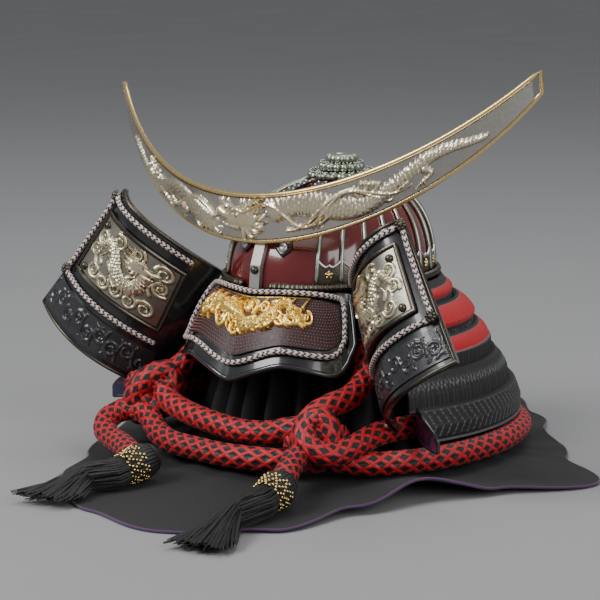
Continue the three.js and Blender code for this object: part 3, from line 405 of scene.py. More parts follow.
def lay_grid(bm, place, across, down, uv_size=(1.0, 1.0), layers=None, merge=False):
    """Adds a grid over place(u, v, index), in millimetres; layers are floats a corner."""
    uv = bm.loops.layers.uv.get("UVMap") or bm.loops.layers.uv.new("UVMap")
    floats = {key: bm.verts.layers.float.get(key) or bm.verts.layers.float.new(key)
              for key in layers or {}}
    made = bmesh.ops.create_grid(bm, x_segments=across, y_segments=down, size=1)
    corners = made["verts"]
    faces = list({face for corner in corners for face in corner.link_faces})
    for face in faces:
        for loop in face.loops:
            spot = loop.vert.co
            loop[uv].uv = ((spot.x + 1) / 2 * uv_size[0], (spot.y + 1) / 2 * uv_size[1])
    for index, corner in enumerate(corners):
        u, v = (corner.co.x + 1) / 2, (corner.co.y + 1) / 2
        for key, layer in floats.items():
            corner[layer] = float(layers[key][index])
        corner.co = place(u, v, index) * MM
    if merge:
        bmesh.ops.remove_doubles(bm, verts=corners, dist=2e-6)
        faces = [face for face in faces if face.is_valid]
        bmesh.ops.recalc_face_normals(bm, faces=faces)
    return corners


def grid_uv(across, down):
    """The u and v of a grid's corners, in the order in which Blender makes them."""
    u, v = np.meshgrid(np.linspace(0, 1, across + 1), np.linspace(0, 1, down + 1))
    return u.ravel(), v.ravel()


def raised(surface, u, v, height):
    step = 0.004
    along_u = surface(min(u + step, 1), v) - surface(max(u - step, 0), v)
    along_v = surface(u, min(v + step, 1)) - surface(u, max(v - step, 0))
    return surface(u, v) + along_u.cross(along_v).normalized() * height


def smooth_path(points, step, closed=False):
    """A Catmull-Rom curve through points, sampled about every step millimetres."""
    points = [Vector(point) for point in points]
    count = len(points)
    spans = count if closed else count - 1
    path = []
    for span in range(spans):
        if closed:
            four = [points[(span + k) % count] for k in (-1, 0, 1, 2)]
        else:
            four = [points[min(max(span + k, 0), count - 1)] for k in (-1, 0, 1, 2)]
        before, start, end, after = four
        pieces = max(2, round((end - start).length / step))
        for i in range(pieces):
            t = i / pieces
            path.append(0.5 * (2 * start + (end - before) * t
                               + (2 * before - 5 * start + 4 * end - after) * t * t
                               + (3 * start - before - 3 * end + after) * t ** 3))
    if not closed:
        path.append(points[-1])
    return path


def path_length(path):
    return sum((b - a).length for a, b in zip(path, path[1:]))


def lay_tube(bm, path, radius, sides, closed=False):
    """A tube along path; radius is a number or a function of (share, around, distance)."""
    path = list(path) + ([path[0]] if closed else [])
    last = len(path) - 1
    distance = [0.0]
    for a, b in zip(path, path[1:]):
        distance.append(distance[-1] + (b - a).length)
    ways = []
    for i in range(last + 1):
        ahead = path[1] - path[-2] if closed and i in (0, last) else (
            path[min(i + 1, last)] - path[max(i - 1, 0)])
        ways.append(ahead.normalized())
    side = ways[0].orthogonal().normalized()
    frames = []
    for way in ways:
        side = (side - way * side.dot(way)).normalized()
        frames.append((side, way.cross(side)))
    twist = 0.0
    if closed:
        first, final = frames[0], frames[-1]
        twist = math.atan2(final[1].dot(first[0]), final[0].dot(first[0]))
    pad = 0 if closed else 2
    rows = last + 2 * pad

    def place(u, v, _):
        row = round(v * rows)
        i = min(max(row - pad, 0), last)
        share = distance[i] / distance[-1]
        angle = 2 * math.pi * u
        reach = radius(share, u, distance[i]) if callable(radius) else radius
        centre = path[i].copy()
        if pad and row < pad:
            centre -= ways[0] * reach * 0.35 * (pad - row) / pad
            reach *= 0.75 if row else 0.0
        if pad and row > last + pad:
            centre += ways[-1] * reach * 0.35 * (row - last - pad) / pad
            reach *= 0.75 if row < rows else 0.0
        turn = angle + twist * share
        left, above = frames[i]
        return centre + left * (math.cos(turn) * reach) + above * (math.sin(turn) * reach)

    lay_grid(bm, place, sides, rows, uv_size=(1, distance[-1] * MM), merge=True)


def tube_piece(name, path, radius, sides, material, closed=False):
    bm = bmesh.new()
    lay_tube(bm, path, radius, sides, closed)
    return put_in_scene(name, bm, material)


def lay_dome(bm, foot, way, width, height, sides=8, rings=2):
    """A small round-headed stud that stands on foot, in millimetres, and leans along way."""
    way = way.normalized()
    side = way.orthogonal().normalized()
    above = way.cross(side)

    def place(u, v, _):
        angle = 2 * math.pi * u
        bend = mix(-0.5, 1, v) * math.pi / 2
        reach = width / 2 * (math.cos(bend) if v > 0.3 else (1.0 if v > 0.01 else 0.0))
        rise = height * max(0.0, math.sin(bend))
        return foot + way * rise + (side * math.cos(angle) + above * math.sin(angle)) * reach

    lay_grid(bm, place, sides, 3 * rings, merge=True)


def surface_piece(name, surface, across, down, material, low, high, layers=None,
                  heights=None, mirror=False, uv_size=(1.0, 1.0)):
    """A closed sheet over a surface, from height low to high and its heights a corner."""
    def at(base, extra):
        def place(u, v, index):
            spot = raised(surface, u, v, base + (extra[index] if extra is not None else 0.0))
            return Vector((-spot.x, spot.y, spot.z)) if mirror else spot
        return place

    bm = bmesh.new()
    front = lay_grid(bm, at(high, heights), across, down, uv_size, layers)
    front_faces = bm.faces[:]
    plain = {key: np.full(len(values), 0.3) for key, values in (layers or {}).items()}
    back = lay_grid(bm, at(low, None), across, down, uv_size, plain)
    back_faces = bm.faces[len(front_faces):]
    bmesh.ops.reverse_faces(bm, faces=front_faces if mirror else back_faces)
    wide = across + 1
    ring = list(range(across)) + [wide * row + across for row in range(down)]
    ring += [wide * down + i for i in range(across, 0, -1)]
    ring += [wide * row for row in range(down, 0, -1)]
    for a, b in zip(ring, ring[1:] + ring[:1]):
        side = [front[b], front[a], back[a], back[b]]
        bm.faces.new(side[::-1] if mirror else side)
    return put_in_scene(name, bm, material)


# %% [markdown]
# ## Relief as heights
# A cast dragon, a carved scroll and a wave are all a height over a flat drawing. Each stroke
# of the drawing is a ridge with a width and a height, and its own pattern of scales. The
# design is a general one: a winding body, a maned head, legs, flames and curling clouds.

# %% Ridges, scales and curls
def dense(route, count):
    curve = smooth_path([(x, y, 0) for x, y in route], 1e9)
    curve = np.array([[p.x, p.y] for p in curve])
    seen = np.linspace(0, len(curve) - 1, count)
    low = np.clip(np.floor(seen).astype(int), 0, len(curve) - 2)
    share = (seen - low)[:, None]
    return curve[low] * (1 - share) + curve[low + 1] * share


def stroke(field, spots, route, widths, height, tone, scales=0.0, fin=0.0):
    """Raises a ridge over spots (n, 2) and writes its tone where it is the highest."""
    line = dense(route, 24 * len(route))
    gaps = np.diff(line, axis=0)
    along = np.concatenate([[0], np.cumsum(np.hypot(gaps[:, 0], gaps[:, 1]))])
    reach = max(widths)
    low, high = line.min(0) - reach * 1.6, line.max(0) + reach * 1.6
    near = np.where(((spots > low) & (spots < high)).all(1))[0]
    if not len(near):
        return
    offset = spots[near][:, None, :] - line[None, :, :]
    square = (offset ** 2).sum(2)
    nearest = square.argmin(1)
    away = np.sqrt(square[np.arange(len(near)), nearest])
    share = along[nearest] / along[-1]
    half = np.interp(share, np.linspace(0, 1, len(widths)), widths) / 2
    way = np.gradient(line, axis=0)[nearest]
    shift = offset[np.arange(len(near)), nearest]
    side = np.sign(way[:, 0] * shift[:, 1] - way[:, 1] * shift[:, 0])
    if fin:
        teeth = np.abs((along[nearest] / fin) % 1 - 0.5) * 2
        half = half * np.where(side > 0, 1 + 0.45 * teeth, 1)
    inside = np.clip(1 - (away / half) ** 2, 0, 1)
    lift = height * np.sqrt(inside)
    shade = tone * (0.45 + 0.55 * np.sqrt(inside))
    if scales:
        across = away / half * side
        row = np.floor(along[nearest] / scales)
        cell = np.abs((across * 2.2 + 0.5 * (row % 2)) % 1 - 0.5) * 2
        front = (along[nearest] / scales) % 1
        mark = np.clip(front - 0.55 * cell, 0, 1)
        lift = lift * (0.82 + 0.3 * mark)
        shade = shade * (0.62 + 0.5 * mark)
    raises = lift > field["height"][near]
    target = near[raises]
    field["height"][target] = lift[raises]
    field["tone"][target] = np.clip(shade[raises], 0, 1)


def curl(centre, radius, turns, start=0.0, hand=1):
    route = []
    for i in range(int(10 * turns) + 1):
        share = i / (10 * turns)
        angle = start + hand * 2 * math.pi * turns * share
        reach = radius * (1 - 0.82 * share)
        route.append((centre[0] + reach * math.cos(angle), centre[1] + reach * math.sin(angle)))
    return route


def dragon_leg(field, spots, joints, widths, height, tone, ankle, toe, spread, claw):
    """A leg through its joints, with three claws of (width, height) from ankle to toe."""
    stroke(field, spots, joints, widths, height, tone)
    for aside in (-spread, 0, spread):
        stroke(field, spots, [ankle, (toe[0] + aside, toe[1])], [claw[0], 0.3], claw[1], 1.0)


def blank_field(spots, tone):
    return {"height": np.zeros(len(spots)), "tone": np.full(len(spots), tone)}


def dragon_head(field, spots, place, size, hand, height, tone=0.95):
    """A maned head with muzzle, brow, eye, horns, jaw and whiskers; hand is +1 to face +x."""
    x, y = place

    def at(dx, dy):
        return x + hand * dx * size, y + dy * size

    for i in range(7):
        angle = 2.2 + 0.42 * i
        route = [at(0.1 * math.cos(angle), 0.1 * math.sin(angle)),
                 at(0.55 * math.cos(angle), 0.5 * math.sin(angle)),
                 at(0.9 * math.cos(angle) - 0.05, 0.72 * math.sin(angle) + 0.16)]
        stroke(field, spots, route, [0.26 * size, 0.2 * size, 0.04 * size], height * 0.75, tone)
    stroke(field, spots, [at(-0.3, 0), at(0.1, 0.05), at(0.42, 0)],
           [0.6 * size, 0.72 * size, 0.5 * size], height, tone * 0.85)
    stroke(field, spots, [at(0.3, 0.1), at(0.62, 0.1), at(0.86, 0.2)],
           [0.36 * size, 0.26 * size, 0.3 * size], height * 1.12, tone)
    stroke(field, spots, [at(0.2, -0.24), at(0.5, -0.22), at(0.78, -0.14)],
           [0.2 * size, 0.17 * size, 0.1 * size], height * 0.85, tone)
    stroke(field, spots, [at(-0.1, 0.26), at(0.16, 0.32), at(0.36, 0.22)],
           [0.14 * size, 0.18 * size, 0.1 * size], height * 1.25, 1.0)
    stroke(field, spots, [at(0.12, 0.14), at(0.15, 0.14)], [0.17 * size] * 2, height * 1.3, 0.5)
    for lift in (0.36, 0.5):
        stroke(field, spots, [at(-0.05, 0.2), at(-0.45, lift), at(-0.95, lift + 0.16)],
               [0.14 * size, 0.12 * size, 0.03 * size], height * 1.1, 1.0)
    stroke(field, spots, [at(0.82, 0.1), at(1.15, -0.02), at(1.2, -0.35), at(0.95, -0.5)],
           [0.09 * size, 0.07 * size, 0.06 * size, 0.02 * size], height * 0.8, 1.0)


print("relief kit ready")

# %% [markdown]
# ## The chin cord first
# The rope is one soft thing with a real length, so its runs are laid before the rest. Four
# tubes follow the routes of the solid model, with wider turns where they enter the knots.

# %% Cord routes, in millimetres
CORD = 14.0
RISE_LEFT = [(55, -42, 73), (60, -45, 62), (63, -53, 53), (64, -65, 47), (61, -79, 44),
             (58, -91, 39.5), (60, -100, 32)]
BACK_UPPER = [(67, -102, 25), (75, -95, 21.5), (79, -82, 24), (81, -62, 28), (84, -34, 28),
              (87, 0, 27), (82, 36, 27), (62, 66, 27), (30, 84, 27), (-8, 90, 27),
              (-46, 78, 27), (-76, 50, 27), (-88, 16, 27), (-88, -16, 27), (-84, -42, 27.5),
              (-79, -59, 30)]
RISE_RIGHT = [(-71, -70, 36), (-63, -70, 45), (-58, -60, 54), (-56, -50, 64), (-55, -41, 73)]
FRONT_UPPER = [(-60, -80, 37), (-50, -84.4, 32), (-32, -90, 29.4), (-10, -95, 27.8),
               (12, -97, 26.5), (32, -96, 28), (44.7, -94.3, 31.4), (54, -92.5, 33)]
FRONT_LOWER = [(62, -92, 18), (49.4, -99.3, 15.2), (32, -107.6, 15.4), (12, -110.4, 15.2),
               (-10, -108.6, 15.2), (-32, -104.6, 15.2), (-49, -97, 17), (-62, -89, 22)]
TAIL_RIGHT = [(-74, -86, 25), (-83, -91, 24), (-85, -101, 20), (-78, -110, 16),
              (-64, -117.5, 14), (-48, -126.5, 14.2), (-21, -145, 14)]
BACK_LOWER = [(-71, -88, 25), (-84, -76, 20), (-97, -54, 14.5), (-105, -20, 13.8),
              (-106, 22, 14), (-87, 68, 14), (-48, 99, 14), (0, 109, 14), (48, 99, 14),
              (87, 68, 14), (106, 22, 14), (107, -24, 14), (98, -54, 14), (86, -74, 14.5),
              (73, -84, 16)]
TAIL_LEFT = [(62, -93, 19), (61, -106, 21), (67, -120, 19), (78.6, -142, 15.6)]


def rope_radius(_, around, distance):
    """Strands stand proud of the core where the two sets cross."""
    runs = distance * TWISTS * MM
    one = abs((around * STRANDS + runs) % 1 - 0.5) * 2
    two = abs((around * STRANDS - runs) % 1 - 0.5) * 2
    return CORD / 2 - 0.25 - 0.9 * max(0.0, min(one, two) - 0.1)


CORD_ROUTES = {
    "cord_upper": RISE_LEFT + BACK_UPPER + RISE_RIGHT,
    "cord_front": FRONT_UPPER,
    "cord_lower": FRONT_LOWER + TAIL_RIGHT,
    "cord_round": BACK_LOWER + TAIL_LEFT,
}
cords = {}
for name, route in CORD_ROUTES.items():
    path = smooth_path(route, 1.4)
    cords[name] = (tube_piece(name, path, rope_radius, 36, ROPE), path)
    print(name, round(path_length(path)), "mm")

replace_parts(cords["cord_upper"][0], "cord_rise_left", "cord_back_upper", "cord_rise_right")
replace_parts(cords["cord_front"][0], "cord_front_upper")
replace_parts(cords["cord_lower"][0], "cord_front_lower", "cord_tail_right")
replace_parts(cords["cord_round"][0], "cord_back_lower", "cord_tail_left")

# %% [markdown]
# ## Knots
# Each knot is a standing loop with a second loop across it and a turn round its waist.

# %% Knots
def knot_loop(centre, along, across, outward, length, width, lift):
    route = []
    for i in range(12):
        angle = 2 * math.pi * i / 12
        route.append(centre + along * (math.cos(angle) * length)
                     + across * (math.sin(angle) * width)
                     + outward * (lift * math.cos(2 * angle)))
    return smooth_path(route, 1.3, closed=True)


def tie_knot(name, centre, along, across, length, width):
    centre = Vector(centre)
    along, across = Vector(along).normalized(), Vector(across).normalized()
    outward = along.cross(across)
    bm = bmesh.new()
    lay_tube(bm, knot_loop(centre, along, across, outward, length, width, 1.5),
             rope_radius, 36, closed=True)
    lay_tube(bm, knot_loop(centre + outward * 3, across, along, outward, width * 1.25,
                           length * 0.42, 2.5), rope_radius, 36, closed=True)
    wrap = [centre + across * (share * width * 1.6)
            + outward * ((1 - share * share) * CORD * 0.72 - 2) + along * (3 * share)
            for share in (-1.0, -0.6, -0.2, 0.2, 0.6, 1.0)]
    lay_tube(bm, smooth_path(wrap, 1.3), rope_radius, 36)
    knot = put_in_scene(name + "_rope", bm, ROPE)
    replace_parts(knot, name)
    return knot


knot_left = tie_knot("knot_left", (62, -92, 27), (0.1, 0, 1), (0.8, 0.6, 0), 12, 8)
knot_right = tie_knot("knot_right", (-68, -80, 35), (0.52, 0.42, 0.74), (0.62, 0.3, -0.61),
                      15, 8)

# %% [markdown]
# ## Tassels
# A tassel is a bound head, a net of gold seed beads round its neck and 330 threads that
# fan out. The threads are thin tubes with three sides, which is enough at their size.

# %% Tassels
def make_tassel(name, head, spread_from, spread_to, floor_height, seed):
    chance = random.Random(seed)
    head = Vector(head)
    far = [Vector(end) for end in (spread_from, spread_to)]
    way = ((far[0] + far[1]) / 2 - head).normalized()
    side = way.cross(Vector((0, 0, 1))).normalized()
    above = side.cross(way)
    bm = bmesh.new()
    lay_dome(bm, head - way * 6.5, -way, 17, 5, 24, 4)

    def bulb(share, around, _):
        ripple = 0.25 * math.cos(around * 2 * math.pi * 30)
        return (8.2 + 2.0 * math.sin(math.pi * share ** 0.8) - 0.8 * share) + ripple

    lay_tube(bm, [head + way * (-6.5 + 1.1 * i) for i in range(17)], bulb, 90)
    for i in range(330):
        turn, reach = chance.uniform(0, 2 * math.pi), math.sqrt(chance.random())
        across = math.cos(turn) * reach
        lift = math.sin(turn) * reach
        start = head + way * 8 + side * (across * 7.4) + above * (lift * 7.4)
        end = far[0].lerp(far[1], (across * 0.96 + 1) / 2)
        end = end + way * chance.uniform(-13, 5)
        end.z = floor_height + (lift + 1) * 2.4
        middle = start.lerp(end, 0.5)
        middle += side * (across * 5 + chance.uniform(-1.2, 1.2))
        middle.z = max(floor_height + 1, middle.z + lift * 4.5 + chance.uniform(-1, 1))
        quarter = start + way * 12 + side * (across * 2.5) + above * (lift * 1.5)
        lay_tube(bm, smooth_path([start, quarter, middle, end], 11), 0.42, 3)
    tassel = put_in_scene(name + "_threads", bm, BLACK_THREAD)
    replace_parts(tassel, name)

    beads = bmesh.new()
    for row in range(7):
        reach = 9.9 - 0.22 * row
        for i in range(26):
            angle = 2 * math.pi * (i + 0.5 * (row % 2)) / 26
            spot = (head + way * (1.2 + 1.75 * row)
                    + (side * math.cos(angle) + above * math.sin(angle)) * reach)
            if (i + row) % 3 == 0:
                continue
            ball = bmesh.ops.create_icosphere(beads, subdivisions=1, radius=0.95 * MM)
            bmesh.ops.translate(beads, verts=ball["verts"], vec=spot * MM)
    net = put_in_scene(name + "_beads", beads, GOLD_BEAD, 80)
    return tassel, net


tassel_left, beads_left = make_tassel(
    "tassel_left", (82, -150, 14), (78, -232, 0), (114, -224, 0), 1.6, 3)
tassel_right, beads_right = make_tassel(
    "tassel_right", (-15, -149, 14), (-46, -214, 0), (-10, -210, 0), 3.2, 5)


# %% [markdown]
# ## Bowl
# The real bowl is riveted from lacquered plates. A grid over the bowl's own curve gives the
# shell; between the ribs each plate bulges a little, which makes the soft upright highlights.

# %% Bowl surface
RIM, BOWL_WIDE, BOWL_LONG, BOWL_HIGH = 101.0, 54.0, 67.0, 56.0
BOWL_POWER = 2 / 2.4
SET_BACK = 9.0
RIB_START, RIB_GAPS = 36.0, 22
RIB_STEP = (360 - 2 * RIB_START) / RIB_GAPS


def bowl_point(turn, rise, out):
    lift = math.sin(rise * math.pi / 2) ** BOWL_POWER
    reach = max(0.0, math.cos(rise * math.pi / 2)) ** BOWL_POWER
    angle = math.radians(turn)
    return Vector(((BOWL_WIDE + out) * reach * math.sin(angle),
                   -(BOWL_LONG + out) * reach * math.cos(angle) + SET_BACK * lift * lift,
                   RIM + (BOWL_HIGH + out) * lift))


def rise_at(height):
    return math.asin(min(1.0, height / BOWL_HIGH) ** (1 / BOWL_POWER)) * 2 / math.pi


def plate_bulge(turn, rise):
    place = (turn - RIB_START) / RIB_STEP
    if 0 <= place <= RIB_GAPS:
        share = place % 1
        return 0.45 * (1 - (2 * share - 1) ** 2) * (1 - rise)
    return 0.2 * (1 - rise)


bowl_mesh = bmesh.new()
lay_grid(bowl_mesh, lambda u, v, _: bowl_point(
    360 * u, v ** 0.85, plate_bulge(360 * u, v) - 0.2), 240, 34, merge=True)
bmesh.ops.solidify(bowl_mesh, geom=bowl_mesh.faces[:], thickness=1.7 * MM)
bowl = put_in_scene("bowl_shell", bowl_mesh, RED_LACQUER, 60)
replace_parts(bowl, "bowl")

# %% [markdown]
# ## Ribs, pointed band and brim
# Cast ribs hold the plates. They stand in a band whose top edge runs up and down in points,
# with a bright edge and a small flower in each gap. A beaded rim closes the brim.

# %% Ribs and band
BEAD_TOP = 4.7
FOOT_RISE = rise_at(BEAD_TOP)
SEAT_RISE = math.acos((18.6 / BOWL_WIDE) ** (1 / BOWL_POWER)) * 2 / math.pi

rib_mesh = bmesh.new()
for i in range(RIB_GAPS + 1):
    turn = RIB_START + RIB_STEP * i
    path = [bowl_point(turn, mix(FOOT_RISE, SEAT_RISE, k / 26), 0.9) for k in range(27)]
    lay_tube(rib_mesh, path, lambda share, around, _: 1.25 - 0.35 * share, 10)
ribs = put_in_scene("bowl_rib_bars", rib_mesh, PEWTER, 70)
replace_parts(ribs, "bowl_ribs")


def band_top(turn):
    share = ((turn - RIB_START) / RIB_STEP) % 1
    swing = abs(2 * share - 1)
    return BEAD_TOP + 7.6 + 4.4 * swing ** 1.6 + 1.6 * max(0.0, 1 - abs(share - 0.5) * 7)


def band_point(u, v, out):
    turn = mix(RIB_START, 360 - RIB_START, u)
    return bowl_point(turn, rise_at(mix(BEAD_TOP, band_top(turn), v)), out)


band_mesh = bmesh.new()
lay_grid(band_mesh, lambda u, v, _: band_point(u, v, 0.9), 352, 6)
bmesh.ops.solidify(band_mesh, geom=band_mesh.faces[:], thickness=0.6 * MM)
put_in_scene("bowl_band", band_mesh, BRONZE)
tube_piece("bowl_band_edge", [band_point(i / 440, 1, 1.1) for i in range(441)], 0.75, 8,
           SILVER)

flower_mesh = bmesh.new()
for i in range(RIB_GAPS):
    turn = RIB_START + RIB_STEP * (i + 0.5)
    spot = bowl_point(turn, rise_at(BEAD_TOP + 4.2), 1.0)
    out = bowl_point(turn, rise_at(BEAD_TOP + 4.2), 2.0) - spot
    lay_dome(flower_mesh, spot, out, 2.4, 1.3, 8, 2)
    side = Vector((0, 0, 1)).cross(out).normalized()
    for k in range(5):
        angle = 2 * math.pi * k / 5 + math.pi / 2
        petal = spot + side * (math.cos(angle) * 1.7) + Vector((0, 0, math.sin(angle) * 1.7))
        lay_dome(flower_mesh, petal, out, 1.7, 0.8, 6, 1)
put_in_scene("bowl_flowers", flower_mesh, GOLD_RIM, 80)

# %% Brim bead
brim_path = [Vector(((BOWL_WIDE + 2.5) * math.sin(math.radians(turn)),
                     -(BOWL_LONG + 2.5) * math.cos(math.radians(turn)), RIM + 2.2))
             for turn in np.linspace(10, 350, 700)]
brim = tube_piece("brim_bead_row", brim_path, lambda share, around, distance:
                  1.65 + 0.5 * abs(math.sin(distance * math.pi / 2.6)), 8, BRONZE)
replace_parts(brim, "brim_bead")

# %% [markdown]
# ## Crown
# Three tiers of cast metal ring the hole in the crown: a petalled plate, a flower and a ring,
# each with a row of small beads. Their outlines are petals on a circle.

# %% Crown tiers
def crown_tier(name, node, width, height, base, petals, depth, stretch=1.0):
    outer, inner = width / 2, 4.0
    profile = [(inner, 0), (outer * 0.7, 0), (outer - 0.6, 0), (outer, 0.25), (outer, 0.5),
               (outer - 0.12 * height, 0.72), (outer - 0.35 * height, 0.8),
               (outer - 0.4 * height, 0.66), (mix(inner, outer, 0.5), 0.86),
               (mix(inner, outer, 0.3), 1), (inner + 0.6, 1), (inner, 0.85), (inner, 0)]

    def place(u, v, _):
        reach, rise = profile[round(v * (len(profile) - 1))]
        angle = 2 * math.pi * u
        swell = abs(math.cos(angle * petals / 2)) ** 0.6
        share = (reach - inner) / (outer - inner)
        reach *= 1 - depth * (1 - swell) * share
        long = mix(1, stretch, share)
        return Vector((math.sin(angle) * reach, SET_BACK - math.cos(angle) * reach * long,
                       base + rise * height))

    bm = bmesh.new()
    lay_grid(bm, place, petals * 10, len(profile) - 1, merge=True)
    for i in range(petals):
        angle = 2 * math.pi * i / petals
        reach = outer * 0.74
        long = mix(1, stretch, 0.7)
        spot = Vector((math.sin(angle) * reach, SET_BACK - math.cos(angle) * reach * long,
                       base + height * 0.66))
        lay_dome(bm, spot, Vector((0, 0, 1)), 0.16 * width / 2, height * 0.3, 8, 2)
    tier = put_in_scene(name, bm, PEWTER)
    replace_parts(tier, node)


CROWN = RIM + BOWL_HIGH + 0.3
crown_tier("crown_petals", "crown_plate", 36, 4, CROWN, 16, 0.13, BOWL_LONG / BOWL_WIDE)
crown_tier("crown_blossom", "crown_flower", 27, 4.5, CROWN + 4.3, 16, 0.16)
crown_tier("crown_collar", "crown_ring", 19, 4, CROWN + 9.1, 12, 0.08)
bead_mesh = bmesh.new()
for width, height, count in ((34, 5.0, 44), (24.5, 9.8, 34), (16.5, 13.2, 26)):
    for i in range(count):
        angle = 2 * math.pi * i / count
        long = BOWL_LONG / BOWL_WIDE if width > 30 else 1
        ball = bmesh.ops.create_icosphere(bead_mesh, subdivisions=1, radius=0.75 * MM)
        bmesh.ops.translate(bead_mesh, verts=ball["verts"], vec=Vector((
            math.sin(angle) * width / 2, SET_BACK - math.cos(angle) * width / 2 * long,
            CROWN + height - 1.1)) * MM)
put_in_scene("crown_beads", bead_mesh, PEWTER, 80)

# %% [markdown]
# ## Straps on the bowl's front
# Two dark straps with silver studs run down the wide front plates to a leaf-shaped tip.

# %% Straps
def strap_piece(name, node, side):
    foot = rise_at(19)

    def place(u, v, _):
        rise = mix(foot, SEAT_RISE, v)
        turn = side * 15
        across = (bowl_point(turn + 0.5, rise, 0) - bowl_point(turn - 0.5, rise, 0)).length
        swell = 1 + 0.5 * math.exp(-((v - 0.07) * 18) ** 2)
        leaf = math.sin(min(1.0, v * 9) * math.pi / 2) * swell
        half = 3.5 * max(leaf, 0.02) * (1 - 0.2 * v) / across
        return bowl_point(turn + (2 * u - 1) * half, rise, 1.7)

    bm = bmesh.new()
    lay_grid(bm, place, 8, 48)
    bmesh.ops.solidify(bm, geom=bm.faces[:], thickness=1.2 * MM)
    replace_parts(put_in_scene(name, bm, BLACK_LACQUER), node)
    studs = bmesh.new()
    for k in range(15):
        rise = mix(foot, SEAT_RISE, 0.12 + 0.86 * k / 14)
        for half in (-2.1, 2.1):
            across = (bowl_point(15.5, rise, 0) - bowl_point(14.5, rise, 0)).length
            turn = side * 15 + half / across
            spot = bowl_point(turn, rise, 1.7)
            lay_dome(studs, spot, bowl_point(turn, rise, 2.7) - spot, 1.5, 0.8, 6, 1)
    tip = bowl_point(side * 15, foot + 0.045, 1.7)
    lay_dome(studs, tip, bowl_point(side * 15, foot + 0.045, 2.7) - tip, 5.5, 1.2, 12, 2)
    put_in_scene(name + "_studs", studs, SILVER, 80)


strap_piece("strap_left_band", "strap_left", 1)
strap_piece("strap_right_band", "strap_right", -1)

# %% [markdown]
# ## Crest holder
# The strip that carries the crest keeps its solid shape and gets a satin finish. Its rivet is
# turned smooth.

# %% Holder and stand keep their solids
def dress(node, material):
    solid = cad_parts[node]
    solid.data.materials.clear()
    solid.data.materials.append(material)


dress("crest_holder", SILVER)
dress("stand_post", WOOD)
rivet_mesh = bmesh.new()
rivet_spot = sum(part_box("crest_rivet"), Vector()) / 2 / MM
lay_dome(rivet_mesh, rivet_spot + Vector((0, 1.0, 0)), Vector((0, -1, 0.12)), 4.6, 2.0, 24, 4)
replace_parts(put_in_scene("crest_rivet_head", rivet_mesh, BRONZE), "crest_rivet")

# %% [markdown]
# ## Visor
# A thick lacquered plate flares down to a beak and two lobes and ends in a round bead. Its
# middle is dark shagreen with rows of pale grains, framed by a braided piping.

# %% Visor plate
VISOR_EDGE = ((0, 1), (14, 0.88), (32, 0.76), (48, 0.82), (66, 0.9), (77, 0.8), (84, 0.5))
edge_turns = [turn for turn, _ in VISOR_EDGE]
edge_drops = [drop for _, drop in VISOR_EDGE]
VISOR_SPREAD, ROOT_SPREAD = 84, 53


def visor_point(u, v):
    side = 1 - 2 * u
    turn, root_turn = math.radians(side * VISOR_SPREAD), math.radians(side * ROOT_SPREAD)
    root = Vector((56 * math.sin(root_turn), -69 * math.cos(root_turn), 99.65))
    here = abs(side) * VISOR_SPREAD
    drop = sum(float(np.interp(abs(here + shift), edge_turns, edge_drops)) * weight
               for shift, weight in ((-5, 0.25), (0, 0.5), (5, 0.25)))
    edge = Vector((60 * math.sin(turn), -50 - 43 * math.cos(turn), RIM - drop * 49.5))
    place = root.lerp(edge, v)
    place.z += 3 * math.sin(v * math.pi)
    return place


visor = surface_piece("visor_plate", visor_point, 150, 24, BLACK_LACQUER,
                      -1.2, 1.2)
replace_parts(visor, "visor")
rim_path = [visor_point(0, v) for v in np.linspace(0.1, 0.985, 24)]
rim_path += [visor_point(u, 0.985) for u in np.linspace(0, 1, 150)[1:-1]]
rim_path += [visor_point(1, v) for v in np.linspace(0.985, 0.1, 24)]
tube_piece("visor_bead", rim_path, 1.75, 14, BLACK_LACQUER)

# %% Shagreen inlay with its grains
INLAY_MIDDLE, INLAY_HALF, INLAY_REACH, OUTLINE = 0.44, 0.33, 0.44, 5


def inlay_at(s, t):
    side = 2 * s - 1
    fullness = max(0.0, 1 - abs(side) ** OUTLINE) ** (1 / OUTLINE)
    middle = INLAY_MIDDLE + INLAY_HALF * fullness * (2 * t - 1)
    return 0.5 + side * INLAY_REACH, middle


def inlay_surface(s, t):
    return visor_point(*inlay_at(mix(0.002, 0.998, s), t))


inlay = surface_piece("visor_shagreen", inlay_surface, 120, 20, SHAGREEN, 1.7, 2.8)
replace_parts(inlay, "visor_inlay")

grains = bmesh.new()
for row in range(17):
    v = INLAY_MIDDLE + INLAY_HALF * (2 * (row + 0.5) / 17 - 1) * 0.95
    away = min(1.0, abs(v - INLAY_MIDDLE) / INLAY_HALF)
    reach = INLAY_REACH * (1 - away ** OUTLINE) ** (1 / OUTLINE)
    count = int(70 * reach / INLAY_REACH)
    for i in range(count):
        u = 0.5 + reach * 0.97 * (2 * (i + 0.5 * (row % 2)) / count - 1)
        if abs(u - 0.5) < 0.27 and abs(v - 0.35) < 0.12:
            continue
        foot = raised(visor_point, u, v, 2.7)
        lay_dome(grains, foot, raised(visor_point, u, v, 3.7) - foot, 0.7, 0.4, 6, 1)
put_in_scene("visor_grains", grains, SHAGREEN_DOTS, 80)

# %% Piping round the inlay
def around_inlay(angle, grow_u, grow_v, lift):
    def outline(value):
        return math.copysign(abs(value) ** (2 / OUTLINE), value)
    u = 0.5 + (INLAY_REACH + grow_u) * outline(math.cos(angle))
    v = INLAY_MIDDLE + (INLAY_HALF + grow_v) * outline(math.sin(angle))
    return raised(visor_point, u, v, lift)


loop = [around_inlay(2 * math.pi * i / 96, 0.028, 0.075, 3.5) for i in range(96)]
piping = tube_piece("visor_braid", smooth_path(loop, 1.0, closed=True), 1.5, 12, PIPING,
                    closed=True)
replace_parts(piping, "visor_piping")

